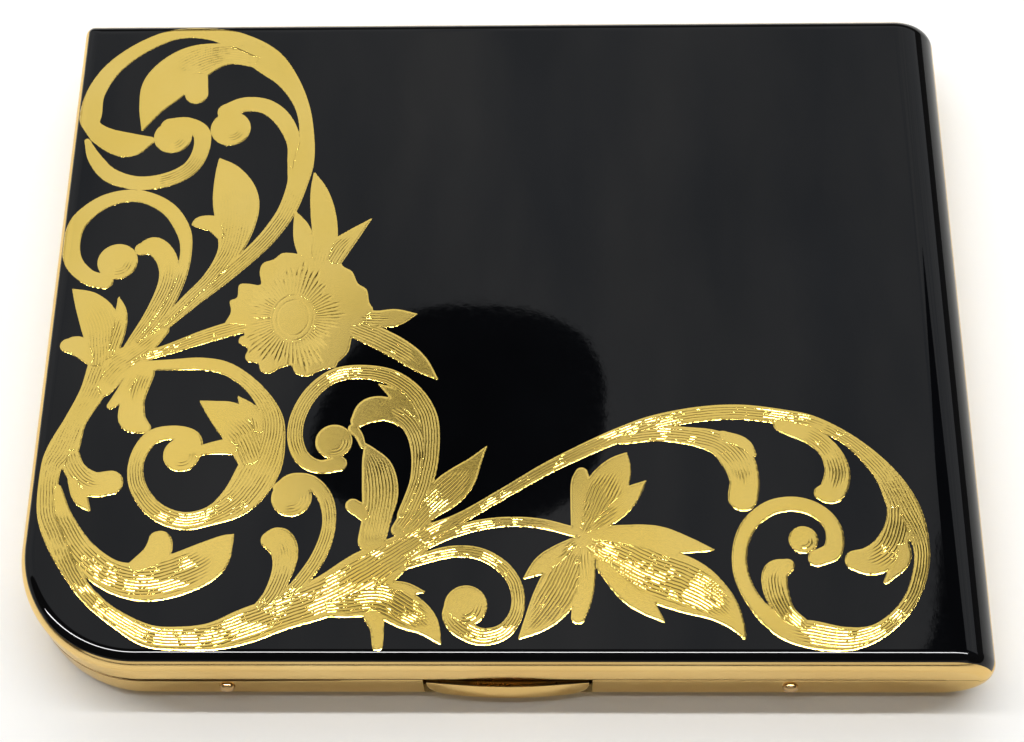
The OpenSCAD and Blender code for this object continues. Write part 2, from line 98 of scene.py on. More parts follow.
# ---- mesh helpers --------------------------------------------------------------
def new_object(name, verts, faces, material, smooth=True):
    """A mesh piece from points in millimetres."""
    mesh = bpy.data.meshes.new(name)
    mesh.from_pydata([Vector(v) * MM for v in verts], [], faces)
    mesh.validate()
    mesh.materials.append(material)
    if smooth:
        mesh.polygons.foreach_set("use_smooth", [True] * len(mesh.polygons))
    obj = bpy.data.objects.new(name, mesh)
    bpy.context.scene.collection.objects.link(obj)
    return obj


def weld(obj, distance=1e-7):
    bm = bmesh.new()
    bm.from_mesh(obj.data)
    bmesh.ops.remove_doubles(bm, verts=bm.verts, dist=distance)
    bmesh.ops.recalc_face_normals(bm, faces=bm.faces)
    bm.to_mesh(obj.data)
    bm.free()


def sharpen(obj, degrees=35):
    """Marks edges sharper than the angle, so that smooth shading stops there."""
    obj.data.set_sharp_from_angle(angle=math.radians(degrees))


def place(obj, body, slot, *replaced):
    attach(obj, body)
    if replaced:
        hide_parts(*replaced)
    return obj


# ---- materials -------------------------------------------------------------------
class Nodes:
    """Short hand for building one material's node tree."""

    def __init__(self, name):
        self.material = bpy.data.materials.new(name)
        self.material.use_nodes = True
        self.tree = self.material.node_tree
        self.bsdf = self.tree.nodes["Principled BSDF"]

    def set(self, **values):
        for key, value in values.items():
            self.bsdf.inputs[key.replace("_", " ")].default_value = value
        return self

    def add(self, kind, **values):
        node = self.tree.nodes.new(kind)
        for key, value in values.items():
            if hasattr(node, key):
                setattr(node, key, value)
            else:
                node.inputs[key.replace("_", " ")].default_value = value
        return node

    def link(self, a, out, b, socket):
        self.tree.links.new(a.outputs[out], b.inputs[socket])

    def coords(self, scale=1000.0, stretch=(1, 1, 1)):
        place_in = self.add("ShaderNodeTexCoord")
        mapping = self.add("ShaderNodeMapping")
        mapping.inputs["Scale"].default_value = [scale * s for s in stretch]
        self.link(place_in, "Object", mapping, "Vector")
        return mapping

    def noise(self, scale, detail=3, stretch=(1, 1, 1), rough=0.5):
        node = self.add("ShaderNodeTexNoise", Scale=scale, Detail=detail, Roughness=rough)
        self.link(self.coords(stretch=stretch), "Vector", node, "Vector")
        return node

    def ramp(self, source, out, stops):
        node = self.add("ShaderNodeValToRGB")
        band = node.color_ramp
        while len(band.elements) < len(stops):
            band.elements.new(0.5)
        for element, (at, colour) in zip(band.elements, stops):
            element.position = at
            element.color = colour if len(colour) == 4 else (*colour, 1)
        self.link(source, out, node, "Fac")
        return node

    def bump(self, source, out, strength, distance, over=None):
        node = self.add("ShaderNodeBump", Strength=strength, Distance=distance)
        self.link(source, out, node, "Height")
        if over:
            self.link(over, "Normal", node, "Normal")
        self.link(node, "Normal", self.bsdf, "Normal")
        return node

    def math(self, operation, a, b=None, value=None):
        node = self.add("ShaderNodeMath", operation=operation)
        self.tree.links.new(a, node.inputs[0])
        if b is not None:
            self.tree.links.new(b, node.inputs[1])
        if value is not None:
            node.inputs[1].default_value = value
        return node.outputs[0]


GOLD = (0.83, 0.585, 0.235)
GOLD_DEEP = (0.78, 0.52, 0.19)


def gilt(name, colour=GOLD, deep=GOLD_DEEP, rough=0.13, stretch=(1, 1, 1), grain=0.05):
    """Polished gilt brass: slight tarnish clouds, hairline wear and a faint waviness."""
    n = Nodes(name).set(Metallic=1.0, Specular_Tint=(1.0, 0.93, 0.72, 1))
    cloud = n.noise(0.09, 4)
    tint = n.ramp(cloud, "Fac", [(0.35, colour), (0.7, deep)])
    n.link(tint, "Color", n.bsdf, "Base Color")
    hair = n.noise(2.2, 6, stretch, 0.6)
    rough_map = n.ramp(hair, "Fac", [(0.3, (rough * 0.75,) * 3), (0.75, (rough * 1.6,) * 3)])
    n.link(rough_map, "Color", n.bsdf, "Roughness")
    wave = n.noise(0.25, 2)
    low = n.bump(wave, "Fac", 0.15, 0.00008)
    n.bump(hair, "Fac", grain, 0.00002, low)
    return n.material


def plain_metal(name, colour, rough):
    """Bare metal of the small parts, with tumbled grain and a little tarnish."""
    n = Nodes(name).set(Metallic=1.0)
    cloud = n.noise(0.5, 5, rough=0.6)
    tint = n.ramp(cloud, "Fac", [(0.35, colour), (0.75, tuple(0.86 * c for c in colour))])
    n.link(tint, "Color", n.bsdf, "Base Color")
    rough_map = n.ramp(cloud, "Fac", [(0.3, (rough * 0.8,) * 3), (0.8, (rough * 1.5,) * 3)])
    n.link(rough_map, "Color", n.bsdf, "Roughness")
    n.bump(n.noise(5, 4, rough=0.7), "Fac", 0.12, 0.00002)
    return n.material


def enamel():
    """Black enamel under a clear gloss, with the faint unevenness of a fired, hand polished coat."""
    n = Nodes("black_enamel").set(Metallic=0.0, Roughness=0.035, IOR=1.335)
    cloud = n.noise(0.06, 3)
    tint = n.ramp(cloud, "Fac", [(0.3, (0.0008, 0.0009, 0.0012)), (0.75, (0.0020, 0.0022, 0.0028))])
    n.link(tint, "Color", n.bsdf, "Base Color")
    fine = n.noise(1.4, 5, rough=0.55)
    rough_map = n.ramp(fine, "Fac", [(0.3, (0.02,) * 3), (0.8, (0.055,) * 3)])
    n.link(rough_map, "Color", n.bsdf, "Roughness")
    wave = n.noise(0.11, 2)
    low = n.bump(wave, "Fac", 0.06, 0.0001)
    pits = n.noise(1.1, 3, rough=0.6)
    n.bump(pits, "Fac", 0.2, 0.000006, low)
    return n.material


M_GILT = gilt("gilt_case", stretch=(0.15, 1, 1))
M_ENAMEL = enamel()
# darker metal for the wall edges at the seam: painted shade for the shadow in the seam gap
M_SEAM_SHADE = plain_metal("seam_painted_shade", (0.28, 0.175, 0.07), 0.4)

# ---- shells ------------------------------------------------------------------------
# A shell is a grid: i runs round the case from the front of the spine, along the
# front, round the left side and back to the spine; j runs from the seam up the
# wall and over the shoulder. Outer and inner skins share the grid.


def round_plan(notch_half):
    """Places along the case's outline: (kind, x, y or angle), with the spacing each stretch needs."""
    marks = []
    spine_angles = [5.13, 8, 11.04, 14, 18] + list(np.linspace(22, 90, 20))
    marks += [("front_spine", a) for a in spine_angles]
    front = {SPINE_X - 0.05}
    front |= set(np.linspace(SPINE_X - 2, CX + 1, 50))
    front |= set(np.linspace(CAT_X - 3.2, CAT_X + 3.2, 17))
    for side in (-1, 1):
        x = CAT_X + side * notch_half
        front = {f for f in front if abs(f - x) > 0.4}
        front |= {x, x - 0.1, x + 0.1}
    marks += [("front", x) for x in sorted(front, reverse=True)]
    marks += [("near_corner", a) for a in np.linspace(270, 180, 49)]
    marks += [("left", y) for y in np.linspace(CY, HY - EDGE_R - 0.3, 30)[1:]]
    marks += [("far_corner", a) for a in np.linspace(180, 90, 17)]
    back = set(np.linspace(-HX + EDGE_R + 0.3, SPINE_X - 2, 40))
    for x in (-HINGE_HALF, HINGE_HALF):
        back = {b for b in back if abs(b - x) > 0.4}
        back |= {x, x - 0.02, x + 0.02}
    back |= {SPINE_X - 0.05}
    marks += [("back", x) for x in sorted(back)]
    marks += [("back_spine", a) for a in reversed(spine_angles)]
    return marks


NOTCH_HALF = CATCH_W / 2 + 0.15
MARKS = round_plan(NOTCH_HALF)
SPINE_N = sum(1 for m in MARKS if m[0] == "front_spine")


def skin_point(mark, inset, z, drop):
    """Where the outline, drawn in by inset at height z, passes a mark."""
    kind, a = mark
    if kind in ("front_spine", "back_spine"):
        y = (-HY + inset) if kind == "front_spine" else (HY - inset)
        rho = SPINE_R - drop
        return (SPINE_X + rho * math.cos(math.radians(a)), y, T / 2 + rho * math.sin(math.radians(a)))
    if kind == "front":
        return (a, -HY + inset, z)
    if kind == "back":
        return (a, HY - inset, z)
    if kind == "left":
        return (-HX + inset, a, z)
    r, x, y = CORNER_R - inset, CX, CY
    if kind == "far_corner":
        shift = max(BACK_R, inset)
        r, x, y = BACK_R - min(BACK_R, inset), -HX + shift, HY - shift
    return (x + r * math.cos(math.radians(a)), y + r * math.sin(math.radians(a)), z)


PHI_LIP = math.degrees(math.acos(1 - LIP_W / EDGE_R))


def shell_grid(thick, seam, levels, phis, soften):
    """Grid points of one skin: wall levels from the seam up, then the shoulder."""
    rows = []
    r = EDGE_R - thick
    for z in levels:
        row = []
        for mark in MARKS:
            p = skin_point(mark, thick, z, EDGE_R)
            up = (z - seam) / soften(p[0], p[1])
            if thick == 0 and up < 1 and not mark[0].endswith("spine"):
                p = skin_point(mark, 0.9 * soften(p[0], p[1]) * (1 - math.sqrt(up * (2 - up))), z, EDGE_R)
            if mark[0].endswith("spine"):
                share = (z - seam) / (T - EDGE_R - seam)
                top = max(p[2], seam)
                p = (p[0], p[1], seam + share * (top - seam))
            row.append(p)
        rows.append(row)
    for phi in phis:
        c, s = math.cos(math.radians(phi)), math.sin(math.radians(phi))
        inset = thick + r * (1 - c)
        rows.append([skin_point(m, inset, T - EDGE_R + r * s, thick + r * (1 - s)) for m in MARKS])
    guard = EDGE_R + 0.05
    rows.append([skin_point(m, guard, T - thick, thick) for m in MARKS])
    return rows


def build_shell(seam, levels, phis, keep, flip, groups, soften):
    """A closed shell. keep(j, i) says which wall cells exist, groups(j, i) which points of the
    outer skin are pushed in under the enamel, and soften(x, y) how far its seam edge is rolled."""
    outer = shell_grid(0, seam, levels, phis, soften)
    inner = shell_grid(WALL, seam, levels, phis, soften)
    n_i, n_j = len(MARKS), len(outer)
    verts, faces = [], []
    index = {}
    for s, rows in enumerate((outer, inner)):
        for j, row in enumerate(rows):
            for i, p in enumerate(row):
                index[s, j, i] = len(verts)
                verts.append((p[0], p[1], T - p[2]) if flip else p)
    kept = {(j, i) for j in range(n_j - 1) for i in range(n_i - 1) if keep(j, i)}
    for j, i in kept:
        for s in (0, 1):
            q = [index[s, j, i], index[s, j, i + 1], index[s, j + 1, i + 1], index[s, j + 1, i]]
            faces.append(q if s == 0 else q[::-1])
        for (dj, di), (a, b) in {(-1, 0): ((j, i), (j, i + 1)), (1, 0): ((j + 1, i), (j + 1, i + 1)),
                                 (0, -1): ((j, i), (j + 1, i)), (0, 1): ((j, i + 1), (j + 1, i + 1))}.items():
            nj, ni = j + dj, i + di
            if (nj, ni) in kept or nj == n_j - 1 or ni < 0 or ni >= n_i - 1:
                continue
            faces.append([index[0, *a], index[0, *b], index[1, *b], index[1, *a]])
    last = n_j - 1
    for i in range(SPINE_N):
        back = n_i - 1 - i
        for s in (0, 1):
            q = [index[s, last, i], index[s, last, i + 1], index[s, last, back - 1], index[s, last, back]]
            faces.append(q)
    # the seam edge of the long side of the spine
    for j in range(len(levels), n_j - 1):
        for a, b in (((j, 0), (j + 1, 0)), ((j, n_i - 1), (j + 1, n_i - 1))):
            faces.append([index[0, *a], index[0, *b], index[1, *b], index[1, *a]])
    faces.append([index[0, last, 0], index[0, last, n_i - 1], index[1, last, n_i - 1], index[1, last, 0]])
    for s in (0, 1):
        faces.append([index[s, last, i] for i in range(SPINE_N, n_i - SPINE_N)])
    if groups:
        for (s, j, i), v in index.items():
            if s == 0 and groups(j, i):
                verts[v] = pushed(outer, j, i, -0.16)
    return verts, faces, outer


def grid_normal(rows, j, i):
    """Outward direction at a grid point, from its neighbours."""
    i0, i1 = max(i - 1, 0), min(i + 1, len(rows[0]) - 1)
    j0, j1 = max(j - 1, 0), min(j + 1, len(rows) - 1)
    a = Vector(rows[j][i1]) - Vector(rows[j][i0])
    b = Vector(rows[j1][i]) - Vector(rows[j0][i])
    n = a.cross(b)
    n = n.normalized() if n.length > 1e-9 else Vector((0, 0, 1))
    centre = Vector((min(max(rows[j][i][0], CX), SPINE_X), min(max(rows[j][i][1], CY), BY), T / 2))
    return n if n.dot(Vector(rows[j][i]) - centre) >= 0 else -n


def pushed(rows, j, i, amount):
    return tuple(Vector(rows[j][i]) + grid_normal(rows, j, i) * amount)


LIP_PHIS = [0, 5, 10, 16, 22, 29, 36, 43, PHI_LIP, PHI_LIP + 1.2, 54, 58, 62, 67, 72, 77, 82, 86, 90]


def in_enamel(j, i, margin=0):
    """True for a lid grid point that lies under the enamel."""
    shoulder = j - LID_ROWS
    if shoulder < LIP_PHIS.index(PHI_LIP) + margin:
        return False
    kind, a = MARKS[i]
    return not kind.endswith("spine") or a >= (17.9 if margin == 0 else 21.9)


HINGE_TOP = AXIS_Z + HINGE_CUT
LID_LEVELS = [LID_Z + h for h in (0, 0.03, 0.08, 0.15, 0.28)] + [HINGE_TOP, HINGE_TOP + 0.05, T - EDGE_R]
LID_ROWS = len(LID_LEVELS)


def lid_keep(j, i):
    kind, a = MARKS[i]
    b = MARKS[i + 1][1]
    if kind == "back" and MARKS[i + 1][0] == "back" and j < LID_LEVELS.index(HINGE_TOP):
        return not -HINGE_HALF - 0.001 <= min(a, b) or not max(a, b) <= HINGE_HALF + 0.001
    return True


def paint_seam_shade(obj, up):
    """The wall's edge faces at the seam get a darker metal, painted shade for the shadow in the seam gap."""
    obj.data.materials.append(M_SEAM_SHADE)
    for face in obj.data.polygons:
        if face.normal.z * up > 0.35 and 4.5 * MM < face.center.z < 5.4 * MM:
            face.material_index = 1


verts, faces, lid_rows = build_shell(LID_Z, LID_LEVELS, LIP_PHIS, lid_keep, False,
                                     lambda j, i: in_enamel(j, i, 1), lambda x, y: 0.12)
# the shallow arch in the lid's lower edge, over the thumb catch
arch_x, arch_w, arch_h = CAT_X - 0.7, 3.1, 0.12
for k, (x, y, z) in enumerate(verts):
    if y < -HY + WALL + 0.01 and z < LID_Z + 0.2 and abs(x - arch_x) < arch_w:
        verts[k] = (x, y, z + arch_h * (1 - ((x - arch_x) / arch_w) ** 2) * (1 - (z - LID_Z) * 2))
lid = new_object("lid_case", verts, faces, M_GILT)
weld(lid)
sharpen(lid)
paint_seam_shade(lid, -1)
place(lid, "lid", "gilt", "lid_shell")

# enamel: the part of the same grid above the lip, flush with it
verts, faces, index = [], [], {}
rows = lid_rows
n_i, n_j = len(MARKS), len(lid_rows)
for j in range(n_j):
    for i in range(n_i):
        if in_enamel(j, i):
            edge = j == LID_ROWS + LIP_PHIS.index(PHI_LIP)
            edge = edge or (MARKS[i][0].endswith("spine") and MARKS[i][1] < 18.5)
            index[j, i] = len(verts)
            verts.append(pushed(rows, j, i, -0.035 if edge else 0.0))
for j in range(n_j - 1):
    for i in range(n_i - 1):
        q = [(j, i), (j, i + 1), (j + 1, i + 1), (j + 1, i)]
        if all(k in index for k in q):
            faces.append([index[k] for k in q])
last = n_j - 1
for i in range(SPINE_N):
    q = [(last, i), (last, i + 1), (last, n_i - 2 - i), (last, n_i - 1 - i)]
    if all(k in index for k in q):
        faces.append([index[k] for k in q])
faces.append([index[last, i] for i in range(SPINE_N, n_i - SPINE_N)])
top = new_object("lid_enamel_skin", verts, faces, M_ENAMEL)
weld(top)
thick = top.modifiers.new("thickness", "SOLIDIFY")
thick.thickness = 0.1 * MM
thick.offset = -1
place(top, "lid", "enamel", "lid_enamel")

# base: the same grid upside down
SEAM_UP = T - SEAM_Z              # heights here are measured down from the lid's top
HINGE_UP = T - (AXIS_Z - HINGE_CUT)
BASE_LEVELS = [SEAM_UP + h for h in (0, 0.02, 0.06, 0.12, 0.2, 0.32, 0.5)]
BASE_LEVELS += [HINGE_UP, HINGE_UP + 0.05, T - EDGE_R]
NOTCH_PHI = 18.2                  # the catch's notch ends here on the lower shoulder
BASE_PHIS = [0, 5, 10, 14, NOTCH_PHI, 23, 28, 33, 38, 43, 50, 58, 66, 74, 82, 90]
base_notch_rows = len(BASE_LEVELS) + BASE_PHIS.index(NOTCH_PHI)


def base_keep(j, i):
    kind, a = MARKS[i]
    b = MARKS[i + 1][1]
    both = MARKS[i + 1][0] == kind
    if kind == "back" and both and j < BASE_LEVELS.index(HINGE_UP):
        return not -HINGE_HALF - 0.001 <= min(a, b) or not max(a, b) <= HINGE_HALF + 0.001
    if kind == "front" and both and j < base_notch_rows:
        return not CAT_X - NOTCH_HALF - 0.001 <= min(a, b) or not max(a, b) <= CAT_X + NOTCH_HALF + 0.001
    return True


# measured upside down, the base's spine starts past the level of its axis
BASE_SPINE = {5.13: -3.66, 8: 1.5, 11.04: 6}
MARKS = [(kind, BASE_SPINE.get(a, a) if kind.endswith("spine") else a) for kind, a in MARKS]
verts, faces, _ = build_shell(SEAM_UP, BASE_LEVELS, BASE_PHIS, base_keep, True, None, lambda x, y: 0.13)
# the seam stands slightly open at the near left corner
for k, (x, y, z) in enumerate(verts):
    if z > 4.4 and x < -10 and y < CY - 1:
        open_by = 0.4 * min((-10 - x) / 14, 1) * min((CY - 1 - y) / 4, 1)
        verts[k] = (x, y, z - open_by * (z - 4.4) / (SEAM_Z - 4.4))
base = new_object("base_case", verts, faces, M_GILT)
weld(base)
sharpen(base)
paint_seam_shade(base, 1)
place(base, "base", "gilt", "base_shell")

# ---- thumb catch and rivets ----------------------------------------------------------
CATCH_HALF = 7.38
CATCH_OUT = 0.6


def catch_mesh():
    """The thumb catch: a bowed plate whose top is dished down to its front edge."""
    verts, faces = [], []
    stations = np.concatenate([np.linspace(-CATCH_HALF, -5.4, 12), np.linspace(-5, 5, 31),
                               np.linspace(5.4, CATCH_HALF, 12)])
    for x in stations:
        share = abs(x) / CATCH_HALF
        out = CATCH_OUT * (1 - share ** 2) + 0.04
        end = max(abs(x) - (CATCH_HALF - 1.8), 0)
        low = 1.38 + 1.8 - math.sqrt(max(1.8 ** 2 - end ** 2, 0))
        top = 4.46 - 0.1 * share ** 3
        low = min(low, top - 0.25)
        lean = 0.16 * (1 - share ** 4)
        loop = [(0.62, 3.84)]
        for t in np.linspace(0, 1, 7):
            # dish from the wall out to the front edge
            y = 0.45 - t * (out - lean + 0.42)
            loop.append((y, 3.84 + (top - 3.84) * t ** 2.2))
        for a in np.linspace(20, 90, 4):
            loop.append((lean - out + 0.05 - 0.05 * math.sin(math.radians(a)),
                         top - 0.05 + 0.05 * math.cos(math.radians(a))))
        r = min(0.3, (top - low) * 0.4)
        for t in np.linspace(0.12, 1, 6):
            loop.append((-out + lean * (1 - t), top - 0.05 - t * (top - 0.05 - low - r)))
        for a in np.linspace(15, 90, 5):
            y = -out + r * (1 - math.cos(math.radians(a)))
            loop.append((min(y, 0.5), low + r - r * math.sin(math.radians(a))))
        loop.append((0.62, low))
        verts += [(CAT_X + x, -HY + y, z) for y, z in loop]
    n = len(loop)
    for k in range(len(stations) - 1):
        for j in range(n):
            a, b = k * n + j, k * n + (j + 1) % n
            faces.append((a, b, b + n, a + n))
    faces += [tuple(range(n)), tuple(range(len(verts) - 1, len(verts) - 1 - n, -1))]
    # stem and nose behind the wall
    for x0, x1, y0, y1, z0, z1 in ((-3.5, 3.5, 0.6, 1.25, 3.2, 3.7), (-3.5, 3.5, 1.2, 1.6, 3.2, 5.7)):
        k = len(verts)
        verts += [(CAT_X + x, -HY + y, z) for x in (x0, x1) for y in (y0, y1) for z in (z0, z1)]
        faces += [tuple(k + v for v in f) for f in ((0, 1, 3, 2), (4, 6, 7, 5), (0, 4, 5, 1), (2, 3, 7, 6),
                                                    (0, 2, 6, 4), (1, 5, 7, 3))]
    return verts, faces


catch = new_object("catch_plate", *catch_mesh(), M_GILT)
# the dish's upward faces get a darker metal: painted shade for the dark seam and wall it reflects
catch.data.materials.append(plain_metal("dish_painted_shade", (0.17, 0.105, 0.035), 0.3))
for face in catch.data.polygons:
    at = face.center
    if face.normal.z > 0.3 and 3.7 * MM < at.z < 4.45 * MM and at.y < (-HY + 0.65) * MM:
        face.material_index = 1
weld(catch)
sharpen(catch, 40)
place(catch, "thumb_catch", "gilt", "thumb_catch")


def rivet_mesh(x, z):
    """A round headed rivet in the front wall, with its set collar and clenched tail."""
    profile = [(0.0, 0.52)]
    profile += [(0.72 * math.sin(a), 0.02 + 0.5 * math.cos(a)) for a in np.linspace(0.15, 1.57, 12)]
    profile += [(0.66, -0.02), (0.42, -0.02), (0.40, -0.1), (0.40, -0.9)]
    profile += [(0.62, -0.92), (0.60, -1.02), (0.0, -1.05)]
    n = 40
    verts, faces = [], []
    for r, out in profile:
        for k in range(n):
            a = 2 * math.pi * k / n
            verts.append((x + r * math.cos(a), -HY - out, z + r * math.sin(a)))
    for j in range(len(profile) - 1):
        for k in range(n):
            a, b = j * n + k, j * n + (k + 1) % n
            faces.append((a, b, b + n, a + n))
    return verts, faces


# the rivets get a darker metal than the gilt: painted shade for the dim room their domes reflect
M_RIVET_SHADE = plain_metal("rivet_painted_shade", (0.50, 0.32, 0.14), 0.22)
lo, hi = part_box("catch_rivets")
rivet_z = (lo.z + hi.z) / 2 / MM
for side, x in (("left", lo.x / MM + 0.74), ("right", hi.x / MM - 0.74)):
    rivet = new_object("rivet_" + side, *rivet_mesh(x, rivet_z), M_RIVET_SHADE)
    weld(rivet, 1e-6)
    sharpen(rivet, 50)
    place(rivet, "base", "gilt", "catch_rivets")

